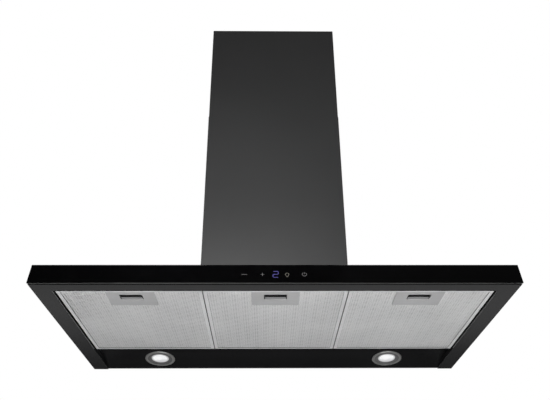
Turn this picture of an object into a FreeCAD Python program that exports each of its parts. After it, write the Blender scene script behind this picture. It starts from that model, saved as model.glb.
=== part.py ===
import FreeCAD, Part
import os
from math import asin, atan, cos, degrees, hypot, pi, radians, sin, sqrt, tan

Vector = FreeCAD.Vector

# A wall-mounted chimney hood for a 90 cm hob. The wall is the plane y = 0, the hood
# stands out of it towards -y, x runs along the wall and z = 0 is the canopy's underside.

# Canopy
canopy_width = 898.0
canopy_depth = 525.0
canopy_height = 41.0
fascia_setback = 10.5
canopy_sheet = 1.0
front_wall_recess = 3.0
rear_wall_recess = 1.5
glass_thickness = 4.0
tape_thickness = 3.0
tape_width = 8.0

# Underside frame round the filters
frame_sheet = 1.0
front_strip_inner_edge = 38.0
side_strip_width = 35.0
bay_lip_height = 15.0
front_lip_height = 5.0
catch_ledge_height = 8.0
catch_ledge_width = 6.5

# Grease filters
filter_count = 3
filter_recess = 5.0
filter_thickness = 9.5
filter_front_gap = 1.5
filter_side_gap = 2.0
filter_spacing = 1.0
filter_sheet = 0.8
filter_flange = 8.0
filter_lug_width = 24.0
filter_hinge_gap = 1.5
cup_width = 88.0
cup_length = 70.0
slot_width = 44.0
slot_setback = 24.0
finger_gap = 9.5
tab_length = 6.0
latch_sheet = 1.2
latch_travel = 4.5
latch_clearance = 0.3
latch_tail = 6.0
spring_strip = 0.5
spring_half_width = 6.0
spring_height = 3.0
spring_waves = 3

# Light panel
panel_sheet = 1.0
panel_rear_height = 2.5
panel_slope = 9.8
panel_slope_depth = 103.0
panel_flat_depth = 134.0
panel_ledge_depth = 140.0
panel_ledge_height = 13.0
panel_clearance = 0.3
panel_screw_offset = 84.0

# Lamps
lamp_end_inset = 136.0
lamp_from_wall = 51.0
bezel_radius = 36.0
bezel_flat = 6.5
bezel_thickness = 1.8
lens_radius = 21.0
lens_thickness = 2.0
lens_clearance = 0.1
lamp_seat = 1.0
lamp_body_radius = 30.0
lamp_body_depth = 16.0
lamp_wall = 1.5
circuit_board_thickness = 1.6
led_count = 6
led_radius = 2.0
led_height = 0.8
lamp_clip_width = 8.0
lamp_clip_sheet = 0.6
lamp_clip_rise = 10.0
lamp_clip_reach = 12.0

# Touch control behind the glass
key_places = (-56.0, -22.0, 24.0, 56.0)
digit_place = 2.0
control_height = 24.0
control_bottom = 9.0
control_depth = 12.0
control_end_margin = 28.0
control_wall = 1.5
board_margin = 0.5
key_pad_radius = 5.0
key_pad_thickness = 0.3
fit_clearance = 0.2
display_width = 14.0
display_height = 18.0
display_depth = 7.0

# Chimney covers
chimney_width = 330.0
chimney_depth = 285.0
chimney_sheet = 0.5
chimney_gap = 0.2
chimney_return = 15.0
chimney_foot = 12.0
lower_cover_height = 530.0
chimney_top = 870.0
upper_cover_length = 490.0

# Air box and blower
air_box_wall_gap = 22.5
air_box_front_gap = 22.5
air_box_height = 230.0
air_box_sheet = 1.0
air_box_flange = 10.0
scroll_side_gap = 5.0
scroll_outlet_side_gap = 12.0
scroll_ground_gap = 20.0
scroll_depth = 120.0
scroll_wall = 2.0
scroll_growth = 8.5
cutoff_gap = 7.0
neck_width = 88.0
inlet_radius = 58.0
impeller_radius = 72.0
impeller_length = 104.0
impeller_blades = 30
blade_chord = 12.0
blade_sheet = 0.8
impeller_rim = 3.0
hub_radius = 11.0
hub_overhang = 11.0
hub_gap = 1.5
wheel_disc = 2.0
shaft_radius = 4.0
shaft_clearance = 0.05
motor_radius = 36.0
motor_length = 62.0
motor_from_middle = 9.0
motor_boss_radius = 9.0
motor_boss_length = 2.0
motor_bore_depth = 50.0
shaft_front_reach = 14.0
motor_thread_depth = 9.0
bracket_sheet = 2.0
bracket_arm_width = 16.0
bracket_reach = 70.0
bush_length = 4.0
bush_radius = 7.0
motor_screw_circle = 24.0
guard_bar = 2.0
guard_margin = 6.0

# Outlet
duct_radius = 75.0
duct_wall = 2.0
adapter_flange = 8.0
collar_foot_width = 3.0
adapter_rise = 38.0
collar_length = 61.0
flap_seat_width = 4.0
flap_thickness = 1.2
flap_clearance = 0.6
flap_pin_radius = 1.5
knuckle_wall = 1.4
knuckle_length = 12.0
knuckle_rows = 5

# Electrics
control_box_width = 78.0
control_box_depth = 110.0
control_box_height = 80.0
control_box_gap = 10.0
plastic_wall = 2.0
capacitor_radius = 15.0
capacitor_length = 52.0
stud_radius = 3.0
stud_length = 5.0
stud_nut_height = 3.0
board_post_height = 6.0
board_post_radius = 3.0
board_post_inset = 5.0
board_end_gap = 2.0
board_front_gap = 12.0
transformer_length = 28.0
transformer_width = 26.0
transformer_height = 22.0
relay_length = 16.0
relay_width = 12.0
relay_height = 16.0
component_gap = 6.0
lid_rim_depth = 3.0
gland_bore_radius = 4.0
gland_length = 24.0
gland_wall = 3.0
gland_flange_width = 4.0
gland_flange_height = 3.0
gland_nut_radius = 12.0
gland_nut_height = 7.0
driver_lamp_gap = 123.0
driver_length = 90.0
driver_depth = 26.0
driver_height = 14.0
driver_foot_length = 8.0
driver_foot_height = 2.0
cable_width = 6.0
cable_thickness = 1.0
cable_clearance = 1.0
cable_bend_reach = 4.0
cable_end_rise = 6.0
lead_radius = 1.5
lead_bend = 20.0
lead_clearance = 1.0

# Wall brackets and what hangs on them
wall_bracket_width = 250.0
wall_bracket_height = 40.0
wall_bracket_sheet = 2.0
wall_screw_spacing = 200.0
wall_screw_radius = 4.0
safety_screw_spacing = 400.0
safety_screw_radius = 3.0
safety_screw_drop = 10.0
hook_width = 30.0
hook_drop = 10.0
hook_rise = 12.0
chimney_bracket_sheet = 1.5
chimney_bracket_height = 30.0
chimney_bracket_ear = 32.0
chimney_bracket_clearance = 0.4
chimney_bracket_gap = 2.0

# Screws
screw_radius = 2.0
screw_clearance = 0.15
screw_head_radius = 3.8
screw_head_height = 2.4
screw_length = 6.0

# How far a cutter runs past the face that it cuts
past = 1.0

half_width = canopy_width / 2
lean = atan(fascia_setback / canopy_height)
duct_y = -chimney_depth / 2


# ---- Plain shapes -------------------------------------------------------------------

def box(x0, x1, y0, y1, z0, z1):
    return Part.makeBox(x1 - x0, y1 - y0, z1 - z0, Vector(x0, y0, z0))


def rod(start, axis, radius, length):
    return Part.makeCylinder(radius, length, Vector(*start), Vector(*axis))


def ring(start, axis, outer, inner, length):
    return rod(start, axis, outer, length).cut(rod(start, axis, inner, length))


def along_x(outline, x0, x1):
    """A solid whose y-z outline runs from x0 to x1."""
    points = [Vector(x0, y, z) for y, z in outline]
    return Part.Face(Part.makePolygon(points + points[:1])).extrude(Vector(x1 - x0, 0, 0))


def along_z(outline, z0, z1):
    """A solid whose x-y outline runs from z0 to z1."""
    points = [Vector(x, y, z0) for x, y in outline]
    return Part.Face(Part.makePolygon(points + points[:1])).extrude(Vector(0, 0, z1 - z0))


def joined(shapes):
    first, *others = shapes
    return first.multiFuse(others).removeSplitter() if others else first


def less(shape, cutters):
    return shape.cut(Part.makeCompound(list(cutters)))


def folded(line, thickness):
    """The outline of a folded sheet: a line of points and the same line moved to its left."""
    moved = []
    for i, (u, v) in enumerate(line):
        normals = []
        for a, b in ((i - 1, i), (i, i + 1)):
            if a >= 0 and b < len(line):
                du, dv = line[b][0] - line[a][0], line[b][1] - line[a][1]
                normals.append((-dv / hypot(du, dv), du / hypot(du, dv)))
        nu = sum(n[0] for n in normals)
        nv = sum(n[1] for n in normals)
        along = (nu * normals[0][0] + nv * normals[0][1])
        moved.append((u + thickness * nu / along, v + thickness * nv / along))
    return list(line) + moved[::-1]


def screw(seat, outward, length):
    """A pan-head screw: its head stands outward from the seat and its shank goes in."""
    out = Vector(*outward)
    tip = Vector(*seat) - out * length
    shank = Part.makeCylinder(screw_radius, length + screw_head_height / 2, tip, out)
    return shank.fuse(rod(seat, outward, screw_head_radius, screw_head_height)).removeSplitter()


def save(name, *solids):
    shape = solids[0] if len(solids) == 1 else Part.makeCompound(list(solids))
    shape.exportStep("parts/" + name + ".step")


# ---- Places that several pieces share -----------------------------------------------

def front_line(depth_in, z):
    """Where the leaning front is at height z, a given depth behind the outer face."""
    return -canopy_depth + z * tan(lean) + depth_in / cos(lean)


def on_fascia(shape):
    """Moves a piece drawn with x, depth behind the glass face and height up it."""
    shape.rotate(Vector(0, 0, 0), Vector(1, 0, 0), -degrees(lean))
    shape.translate(Vector(0, -canopy_depth, 0))
    return shape


front_wall_in = glass_thickness + tape_thickness
front_wall_back = front_wall_in + canopy_sheet
bay_edge = half_width - side_strip_width
bay_front = -canopy_depth + front_strip_inner_edge
catch_edge = bay_front + catch_ledge_width
wall_inside = -canopy_sheet
roof = canopy_height - canopy_sheet

filter_half_field = bay_edge - filter_side_gap
filter_width = (2 * filter_half_field - (filter_count - 1) * filter_spacing) / filter_count
filter_front = catch_edge + filter_front_gap
filter_rear = -panel_ledge_depth - filter_hinge_gap
filter_top = filter_recess + filter_thickness
cup_front = filter_front + filter_sheet
cup_rear = filter_front + cup_length
slot_front = filter_front + slot_setback
slot_length = finger_gap + tab_length + latch_travel + latch_clearance
latch_rear = slot_front + slot_length + latch_tail
tongue_bottom = catch_ledge_height - latch_sheet

panel_tilt = radians(panel_slope)
panel_flat_height = panel_rear_height + (panel_slope_depth - canopy_sheet) * tan(panel_tilt)
lamp_x = bay_edge - lamp_end_inset
lamp_base = lens_thickness + lamp_seat
driver_place = lamp_x - driver_lamp_gap - driver_length / 2
lamp_height = panel_rear_height + (lamp_from_wall - canopy_sheet) * tan(panel_tilt)

air_box_front = -chimney_depth + air_box_front_gap
air_box_rear = -air_box_wall_gap
air_box_top = canopy_height + air_box_height
scroll_radii = [impeller_radius + cutoff_gap + i * scroll_growth for i in range(3)]
blower_x = neck_width / 2 - scroll_radii[2] - scroll_growth
blower_z = canopy_height + scroll_ground_gap + scroll_wall + scroll_radii[2] - scroll_growth
air_box_left = blower_x - scroll_radii[0] - scroll_wall - scroll_side_gap - air_box_sheet
air_box_right = neck_width / 2 + scroll_wall + scroll_outlet_side_gap + air_box_sheet
scroll_front_y = duct_y - scroll_depth / 2
scroll_rear_y = duct_y + scroll_depth / 2

control_box_left = air_box_right + control_box_gap
control_box_right = control_box_left + control_box_width
control_box_rear = air_box_rear - control_box_gap
control_box_front = control_box_rear - control_box_depth
control_box_top = canopy_height + control_box_height
cable_x = key_places[-1] + control_end_margin - control_wall - cable_width

collar_bottom = air_box_top + adapter_rise
flap_seat_top = collar_bottom + air_box_sheet + duct_wall
flap_bottom = flap_seat_top + latch_clearance
pin_z = flap_bottom + flap_thickness + flap_pin_radius


# ---- Canopy -------------------------------------------------------------------------

def air_opening(z0, z1):
    edge = air_box_sheet + air_box_flange
    return box(air_box_left + edge, air_box_right - edge, air_box_front + edge, air_box_rear - edge, z0, z1)


def air_box_screw_places():
    inset = air_box_sheet + air_box_flange / 2
    middle = (air_box_left + air_box_right) / 2
    for x in (air_box_left + inset, middle, air_box_right - inset):
        for y in (air_box_front + inset, air_box_rear - inset):
            yield x, y


def chimney_foot_screw_places():
    for side in (-1, 1):
        x = side * (chimney_width / 2 - chimney_sheet - chimney_foot / 2)
        for y in (-chimney_depth * 0.8, -chimney_depth * 0.2):
            yield x, y


def control_hollow(margin, depth_in, depth_out):
    """The space of the touch control, on the fascia."""
    end = key_places[-1] + control_end_margin + margin
    bottom = control_bottom - margin
    top = control_bottom + control_height + margin
    return on_fascia(box(-end, end, depth_in, depth_out, bottom, top))


def cable_hole(z0, z1):
    """Where the touch cable goes through the roof and the control box's floor."""
    gap = cable_clearance
    return box(cable_x - gap, cable_x + cable_width + gap, cable_rear - gap, cable_rear + cable_thickness + gap,
               z0, z1)


def canopy_shell():
    """A tray of folded sheet: roof, rear wall, leaning front wall and two ends."""
    top = box(-half_width, half_width, front_line(front_wall_in, canopy_height), 0, roof, canopy_height)
    rear = less(box(-half_width, half_width, wall_inside, 0, 0, canopy_height),
                [box(-bay_edge, bay_edge, wall_inside - past, past, -past, rear_wall_recess)])
    front = along_x([(front_line(front_wall_in, front_wall_recess), front_wall_recess),
                     (front_line(front_wall_back, front_wall_recess), front_wall_recess),
                     (front_line(front_wall_back, canopy_height), canopy_height),
                     (front_line(front_wall_in, canopy_height), canopy_height)],
                    -half_width, half_width)
    side_outline = [(front_line(front_wall_in, 0), 0), (0, 0), (0, canopy_height),
                    (front_line(front_wall_in, canopy_height), canopy_height)]
    left = along_x(side_outline, -half_width, -half_width + canopy_sheet)
    right = along_x(side_outline, half_width - canopy_sheet, half_width)
    holes = [air_opening(0, canopy_height + past), control_hollow(past, 0, control_depth)]
    for x, y in list(air_box_screw_places()) + list(chimney_foot_screw_places()):
        holes.append(rod((x, y, roof - past), (0, 0, 1), screw_radius + screw_clearance,
                         canopy_sheet + 2 * past))
    for x, z in panel_screw_places():
        holes.append(rod((x, wall_inside - past, z), (0, 1, 0), screw_radius + screw_clearance,
                         canopy_sheet + 2 * past))
    for side in (-1, 1):
        place = (side * safety_screw_spacing / 2, wall_inside - past, canopy_height - safety_screw_drop)
        holes.append(rod(place, (0, 1, 0), safety_screw_radius, canopy_sheet + 2 * past))
    holes.append(cable_hole(roof - past, canopy_height + past))
    return less(joined([top, rear, front, left, right]), holes)


def front_glass():
    """A leaning plate whose lower edge is ground level with the underside."""
    plate = on_fascia(box(-half_width, half_width, 0, glass_thickness, 0, canopy_height / cos(lean)))
    below = box(-half_width - past, half_width + past, -canopy_depth - past, -canopy_depth + 2 * glass_thickness,
                -glass_thickness, 0)
    return less(plate, [below])


def glass_tape():
    """Two long strips and one short strip at each end."""
    low = front_wall_recess / cos(lean) + tape_width / 4
    high = canopy_height / cos(lean) - tape_width * 0.75
    end = half_width - tape_width
    strips = [(-end, end, high, high + tape_width / 2), (-end, end, low, low + tape_width / 4)]
    for side in (-1, 1):
        near = key_places[-1] + control_end_margin + tape_width
        a, b = sorted((side * near, side * (near + control_height)))
        middle = control_bottom + control_height / 2
        strips.append((a, b, middle - tape_width / 2, middle + tape_width / 2))
    return [on_fascia(box(x0, x1, glass_thickness, front_wall_in, s0, s1)) for x0, x1, s0, s1 in strips]


def underside_frame():
    """A U of flat strips with an upturned lip all round and the filters' catch ledge."""
    inside = half_width - canopy_sheet
    strip_front = front_line(front_wall_back, 0)
    lip = frame_sheet
    pieces = [box(-inside, inside, strip_front, bay_front, 0, frame_sheet)]
    pieces.append(along_x([(front_line(front_wall_back, z), z) for z in (0, front_lip_height)]
                          + [(front_line(front_wall_back + lip, z), z) for z in (front_lip_height, 0)],
                          -inside, inside))
    pieces.append(box(-bay_edge, bay_edge, bay_front - lip, bay_front, 0, catch_ledge_height))
    pieces.append(box(-bay_edge, bay_edge, bay_front - lip, catch_edge, catch_ledge_height - lip,
                      catch_ledge_height))
    for side in (-1, 1):
        a, b = sorted((side * bay_edge, side * inside))
        pieces.append(box(a, b, strip_front, wall_inside, 0, frame_sheet))
        a, b = sorted((side * bay_edge, side * (bay_edge + lip)))
        pieces.append(box(a, b, bay_front - lip, wall_inside, 0, bay_lip_height))
        a, b = sorted((side * (inside - lip), side * inside))
        pieces.append(box(a, b, front_line(front_wall_back + lip, 0), wall_inside, 0, bay_lip_height))
    before_front = along_x([(front_line(front_wall_back, 0), 0),
                            (front_line(front_wall_back, canopy_height), canopy_height),
                            (-canopy_depth, canopy_height), (-canopy_depth, 0)], -half_width, half_width)
    return less(joined(pieces), [before_front])


# ---- Light panel and lamps ----------------------------------------------------------

def on_panel(shape, x):
    """Moves a piece drawn about the z axis, z up from the panel's face, to a lamp's place."""
    shape.rotate(Vector(0, 0, 0), Vector(1, 0, 0), -panel_slope)
    shape.translate(Vector(x, -lamp_from_wall, lamp_height))
    return shape


def lamp_places():
    return {"left": -lamp_x, "right": lamp_x}


def panel_screw_places():
    for side in (-1, 1):
        for x in (lamp_x - 2 * panel_screw_offset, lamp_x + panel_screw_offset):
            yield side * x, (panel_rear_height + panel_flat_height) / 2 + screw_head_radius


def light_panel():
    """A folded sheet: rear flange, slope, flat, drop and the ledge that the filters rest on."""
    reach = bay_edge - panel_clearance
    line = [(-panel_ledge_depth, panel_ledge_height - panel_sheet),
            (-panel_flat_depth, panel_ledge_height - panel_sheet),
            (-panel_flat_depth, panel_flat_height),
            (-panel_slope_depth, panel_flat_height),
            (wall_inside, panel_rear_height),
            (wall_inside, panel_flat_height)]
    panel = along_x(folded(line, panel_sheet), -reach, reach)
    hole_radius = lamp_body_radius + lamp_wall / 2
    holes = [on_panel(rod((0, 0, -past), (0, 0, 1), hole_radius, panel_sheet + 2 * past), x)
             for x in lamp_places().values()]
    for x, z in panel_screw_places():
        holes.append(rod((x, wall_inside - panel_sheet - past, z), (0, 1, 0), screw_radius + screw_clearance,
                         panel_sheet + 2 * past))
    return less(panel, holes)


def turned(profile):
    """A solid of revolution about z from an outline of radius and height."""
    points = [Vector(r, 0, z) for r, z in profile]
    return Part.Face(Part.makePolygon(points + points[:1])).revolve(Vector(0, 0, 0), Vector(0, 0, 1), 360)


def lamp_bezel(x):
    """A flat ring, a cone that falls back to the lens, and a neck through the panel."""
    seat = lens_thickness
    outer_flat = bezel_radius - bezel_flat
    profile = [(bezel_radius, -panel_clearance), (bezel_radius - bezel_thickness / 2, -bezel_thickness),
               (outer_flat, -bezel_thickness), (lens_radius, 0), (lens_radius, seat),
               (lens_radius + lamp_wall, seat), (lens_radius + lamp_wall, lamp_base),
               (lamp_body_radius, lamp_base), (lamp_body_radius, 0), (bezel_radius, 0)]
    return on_panel(turned(profile), x)


def lamp_lens(x):
    return on_panel(rod((0, 0, 0), (0, 0, 1), lens_radius - lens_clearance, lens_thickness), x)


def lamp_housing(x):
    """A can with a closed end and a hole for the lead in its side."""
    can = rod((0, 0, lamp_base), (0, 0, 1), lamp_body_radius, lamp_body_depth)
    hollow = rod((0, 0, lamp_base), (0, 0, 1), lamp_body_radius - lamp_wall, lamp_body_depth - lamp_wall)
    towards_driver = (-1 if x > 0 else 1, 0, 0)
    lead_hole = rod((0, 0, lead_rise), towards_driver, lead_radius + panel_clearance, lamp_body_radius + past)
    return on_panel(can.cut(hollow).cut(lead_hole), x)


def led_board(x):
    """A round board against the can's end, with a circle of light sources facing the lens."""
    base = lamp_base + lamp_body_depth - lamp_wall - circuit_board_thickness
    board_radius = lamp_body_radius - lamp_wall - fit_clearance
    board = rod((0, 0, base), (0, 0, 1), board_radius, circuit_board_thickness)
    circle = lens_radius / 2
    sources = []
    for i in range(led_count):
        turn = 2 * pi * i / led_count
        sources.append(rod((circle * cos(turn), circle * sin(turn), base - led_height), (0, 0, 1), led_radius,
                           led_height + circuit_board_thickness / 2))
    return on_panel(joined([board] + sources), x)


def lamp_clips(x):
    """Two leaf springs that press the panel against the bezel."""
    top = panel_sheet + lamp_clip_rise
    line = [(lamp_body_radius, top),
            (lamp_body_radius + lamp_clip_reach * 0.4, top - lamp_clip_rise * 0.2),
            (lamp_body_radius + lamp_clip_reach * 0.75, panel_sheet),
            (lamp_body_radius + lamp_clip_reach, panel_sheet)]
    clips = []
    for side in (-1, 1):
        points = [Vector(side * r, -lamp_clip_width / 2, z) for r, z in folded(line, lamp_clip_sheet)]
        clip = Part.Face(Part.makePolygon(points + points[:1])).extrude(Vector(0, lamp_clip_width, 0))
        clip = clip.cut(rod((0, 0, 0), (0, 0, 1), lamp_body_radius, 2 * lamp_body_depth))
        clip.rotate(Vector(0, 0, 0), Vector(0, 0, 1), 90)
        clips.append(on_panel(clip, x))
    return clips


# ---- Grease filters -----------------------------------------------------------------

def filter_left_edge(index):
    return -filter_half_field + index * (filter_width + filter_spacing)


def filter_frame(x0):
    """A rolled channel all round, two lugs behind and a slot for the latch in front."""
    x1 = x0 + filter_width
    outer = box(x0, x1, filter_front, filter_rear, filter_recess, filter_top)
    sheet, flange = filter_sheet, filter_flange
    hollow = box(x0 + sheet, x1 - sheet, filter_front + sheet, filter_rear - sheet,
                 filter_recess + sheet, filter_top - sheet)
    window = box(x0 + flange, x1 - flange, filter_front + flange, filter_rear - flange,
                 filter_recess - past, filter_top + past)
    middle = (x0 + x1) / 2
    tongue_slot = box(middle - tongue_gap_half, middle + tongue_gap_half, filter_front - past, cup_front,
                      tongue_bottom - latch_clearance, tongue_bottom + latch_sheet + latch_clearance)
    lug_bottom = panel_ledge_height + panel_clearance
    lugs = []
    for x in (x0 + filter_width / 4, x0 + filter_width * 3 / 4):
        lugs.append(box(x - filter_lug_width / 2, x + filter_lug_width / 2, filter_rear - sheet,
                        -panel_flat_depth - filter_hinge_gap, lug_bottom, lug_bottom + sheet))
    return joined([less(outer, [hollow, window, tongue_slot])] + lugs)


latch_half_width = slot_width / 2 - latch_sheet - filter_sheet
tongue_gap_half = latch_half_width + latch_clearance
cup_plate_bottom = filter_recess + latch_clearance
cup_plate_top = cup_plate_bottom + filter_sheet


def filter_mesh(x0):
    """The pad of expanded metal layers, with the notch that the latch cup fills."""
    edge = filter_sheet
    pad = box(x0 + edge, x0 + filter_width - edge, filter_front + edge, filter_rear - edge,
              filter_recess + edge, filter_top - edge)
    middle = x0 + filter_width / 2
    half = cup_width / 2 + latch_clearance
    notch = box(middle - half, middle + half, filter_front, cup_rear + latch_clearance, 0, filter_top)
    return pad.cut(notch)


def latch_cup(x0):
    """A pressed plate with a finger slot, low walls and two rails that guide the latch."""
    middle = x0 + filter_width / 2
    half = cup_width / 2
    lap = filter_front + filter_flange
    floor = box(middle - half, middle + half, lap, cup_rear, cup_plate_bottom, cup_plate_top)
    wall_top = filter_top - filter_sheet
    outer = box(middle - half, middle + half, cup_front, cup_rear, filter_recess + filter_sheet, wall_top)
    inner = box(middle - half + filter_sheet, middle + half - filter_sheet, cup_front + filter_sheet,
                cup_rear - filter_sheet, 0, filter_top)
    tongue_slot = box(middle - tongue_gap_half, middle + tongue_gap_half, cup_front - past,
                      cup_front + filter_sheet, 0, tongue_bottom + latch_sheet + latch_clearance)
    walls = less(outer, [inner, tongue_slot])
    slot = box(middle - slot_width / 2, middle + slot_width / 2, slot_front, slot_front + slot_length,
               0, filter_top)
    rails = []
    for side in (-1, 1):
        a = middle + side * tongue_gap_half
        b = a + side * filter_sheet
        rails.append(box(min(a, b), max(a, b), lap, cup_rear - filter_sheet, cup_plate_bottom,
                         tongue_bottom + 2 * latch_sheet))
    return joined([less(floor, [slot]), walls] + [less(rail, [slot]) for rail in rails])


def latch(x0):
    """A flat slide with a tongue in front, a finger tab that hangs in the slot and an upturned tail."""
    middle = x0 + filter_width / 2
    left, right = middle - latch_half_width, middle + latch_half_width
    slide = box(left, right, catch_edge + latch_clearance, latch_rear,
                tongue_bottom, tongue_bottom + latch_sheet)
    tab_front = slot_front + finger_gap
    tab = box(left, right, tab_front, tab_front + tab_length,
              cup_plate_bottom + latch_clearance, tongue_bottom)
    tail = box(middle - spring_half_width, middle + spring_half_width, latch_rear - latch_sheet, latch_rear,
               tongue_bottom, filter_top - filter_sheet - latch_clearance)
    return joined([slide, tab, tail])


def latch_spring(x0):
    """A strip bent to and fro between the latch's tail and the cup's rear wall."""
    middle = x0 + filter_width / 2
    start = latch_rear + latch_clearance
    end = cup_rear - filter_sheet - latch_clearance - spring_strip
    bends = 2 * spring_waves
    line = [(middle, start)]
    for i in range(bends):
        side = -1 if i % 2 else 1
        line.append((middle + side * spring_half_width, start + (end - start) * (i + 0.5) / bends))
    line.append((middle, end))
    low = tongue_bottom + latch_sheet + latch_clearance
    return along_z(folded(line, spring_strip), low, low + spring_height)


# ---- Touch control ------------------------------------------------------------------

def control_housing():
    """A tray that is open towards the glass."""
    tray = control_hollow(0, glass_thickness, glass_thickness + control_depth)
    back = glass_thickness + control_depth
    hollow = control_hollow(-control_wall, glass_thickness - past, back - control_wall)
    outlet = on_fascia(box(cable_x, cable_x + cable_width, glass_thickness, back + past,
                           cable_start - fit_clearance, cable_start + cable_thickness + fit_clearance))
    return less(tray, [hollow, outlet])


def touch_board():
    """The board on the back of the glass, with a round pad under each key."""
    end = key_places[-1] + control_end_margin - control_wall - board_margin
    low = control_bottom + control_wall + board_margin
    high = control_bottom + control_height - control_wall - board_margin
    face = glass_thickness + key_pad_thickness
    board = box(-end, end, face, face + circuit_board_thickness, low, high)
    half = display_width / 2 + fit_clearance
    window = box(digit_place - half, digit_place + half, 0, control_depth, display_low - fit_clearance,
                 display_low + display_height + fit_clearance)
    pads = [rod((x, glass_thickness, (low + high) / 2), (0, 1, 0), key_pad_radius, key_pad_thickness)
            for x in key_places]
    return on_fascia(joined([board.cut(window)] + pads))


display_low = control_bottom + (control_height - display_height) / 2
cable_start = control_bottom + control_height - control_wall - 2 * cable_thickness


def display_module():
    return on_fascia(box(digit_place - display_width / 2, digit_place + display_width / 2, glass_thickness,
                         glass_thickness + display_depth, display_low, display_low + display_height))


cable_rear = control_box_front + 3 * plastic_wall


def touch_cable():
    """A flat cable from the tray, up to the roof, back along it and up into the control box."""
    exit_in = glass_thickness + control_depth - control_wall
    y0 = -canopy_depth + cable_start * sin(lean) + exit_in * cos(lean)
    z0 = cable_start * cos(lean) - exit_in * sin(lean)
    y1 = y0 + (control_wall + 2 * cable_thickness) * cos(lean)
    z1 = z0 - (control_wall + 2 * cable_thickness) * sin(lean)
    under_roof = roof - cable_thickness
    turn_y = cable_rear + cable_thickness
    line = [(y0, z0), (y1, z1), (y1 + cable_bend_reach, under_roof), (turn_y, under_roof),
            (turn_y, canopy_height + plastic_wall + cable_end_rise)]
    return along_x(folded(line, cable_thickness), cable_x, cable_x + cable_width)


# ---- Chimney covers -----------------------------------------------------------------

def cover(outset, z0, z1):
    """Three walls and two returns along the wall; outset is how far it lies inside the lower cover."""
    half = chimney_width / 2 - outset
    front = -chimney_depth + outset
    rear = -outset
    return_edge = half - chimney_return
    outer = box(-half, half, front, rear, z0, z1)
    s = chimney_sheet
    low, high = z0 - past, z1 + past
    inner = box(-half + s, half - s, front + s, rear - s, low, high)
    opening = box(-return_edge, return_edge, rear - 2 * s, rear + past, low, high)
    return less(outer, [inner, opening])


def chimney_lower():
    walls = cover(0, canopy_height, canopy_height + lower_cover_height)
    feet = []
    inner = chimney_width / 2 - chimney_sheet / 2
    for side in (-1, 1):
        a, b = sorted((side * inner, side * (chimney_width / 2 - chimney_sheet - chimney_foot)))
        feet.append(box(a, b, -chimney_depth + chimney_sheet / 2, -chimney_sheet / 2,
                        canopy_height, canopy_height + chimney_sheet))
    holes = [rod((x, y, canopy_height - past), (0, 0, 1), screw_radius, chimney_sheet + 2 * past)
             for x, y in chimney_foot_screw_places()]
    return less(joined([walls] + feet), holes)


def chimney_upper():
    return cover(chimney_sheet + chimney_gap, chimney_top - upper_cover_length, chimney_top)


def chimney_bracket(z0):
    """A hat of strip steel: a base on the wall and an ear inside each side of the covers."""
    inside = chimney_width / 2 - 2 * chimney_sheet - chimney_gap - chimney_bracket_clearance
    base = chimney_width / 2 - chimney_return - chimney_sheet - 2 * chimney_bracket_gap
    step = 3 * chimney_sheet + chimney_gap + chimney_bracket_sheet + chimney_bracket_gap
    line = [(-inside, -chimney_bracket_ear), (-inside, -step), (-base, -step), (-base, 0),
            (base, 0), (base, -step), (inside, -step), (inside, -chimney_bracket_ear)]
    strip = along_z(folded(line, -chimney_bracket_sheet), z0, z0 + chimney_bracket_height)
    holes = [rod((x, -chimney_bracket_sheet - past, z0 + chimney_bracket_height / 2), (0, 1, 0),
                 wall_screw_radius, chimney_bracket_sheet + 2 * past)
             for x in (-wall_screw_spacing / 2, wall_screw_spacing / 2)]
    return less(strip, holes)


# ---- Air box and blower -------------------------------------------------------------

def air_box():
    """A sheet box without a floor, with a flange turned in and the neck's opening on top."""
    s = air_box_sheet
    outer = box(air_box_left, air_box_right, air_box_front, air_box_rear, canopy_height, air_box_top)
    inner = box(air_box_left + s, air_box_right - s, air_box_front + s, air_box_rear - s,
                canopy_height + s, air_box_top - s)
    neck = box(-neck_width / 2, neck_width / 2, scroll_front_y + scroll_wall, scroll_rear_y - scroll_wall,
               air_box_top - 2 * s, air_box_top + past)
    holes = [air_opening(canopy_height - past, canopy_height + 2 * s), neck]
    for x, y in air_box_screw_places():
        holes.append(rod((x, y, canopy_height - past), (0, 0, 1), screw_radius, s + 2 * past))
    for x, y in outlet_screw_places():
        holes.append(rod((x, y, air_box_top - s - past), (0, 0, 1), screw_radius, s + 2 * past))
    return less(outer, [inner] + holes)


def scroll_outline(outset, top, y):
    """The spiral in three quarter arcs, closed by the straight neck."""
    r1, r2, r3 = [r + outset for r in scroll_radii]
    c1 = (blower_x, blower_z)
    c2 = (c1[0] + scroll_growth, c1[1])
    c3 = (c2[0], c2[1] + scroll_growth)
    neck_left = -neck_width / 2 - outset
    neck_right = neck_width / 2 + outset
    cutoff = (neck_left, c1[1] + sqrt(r1 ** 2 - (neck_left - c1[0]) ** 2))

    def at(centre, radius, angle):
        return Vector(centre[0] + radius * cos(radians(angle)), y, centre[1] + radius * sin(radians(angle)))

    start_angle = 90 - degrees(asin((neck_left - c1[0]) / r1))
    cutoff_point = Vector(cutoff[0], y, cutoff[1])
    arcs = [Part.Arc(cutoff_point, at(c1, r1, (start_angle + 180) / 2), at(c1, r1, 180)).toShape(),
            Part.Arc(at(c2, r2, 180), at(c2, r2, 225), at(c2, r2, 270)).toShape(),
            Part.Arc(at(c3, r3, 270), at(c3, r3, 315), at(c3, r3, 360)).toShape()]
    side = Vector(neck_right, y, c3[1])
    lines = [Part.makeLine(side, Vector(neck_right, y, top)),
             Part.makeLine(Vector(neck_right, y, top), Vector(neck_left, y, top)),
             Part.makeLine(Vector(neck_left, y, top), cutoff_point)]
    return Part.Face(Part.Wire(arcs + lines))


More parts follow.
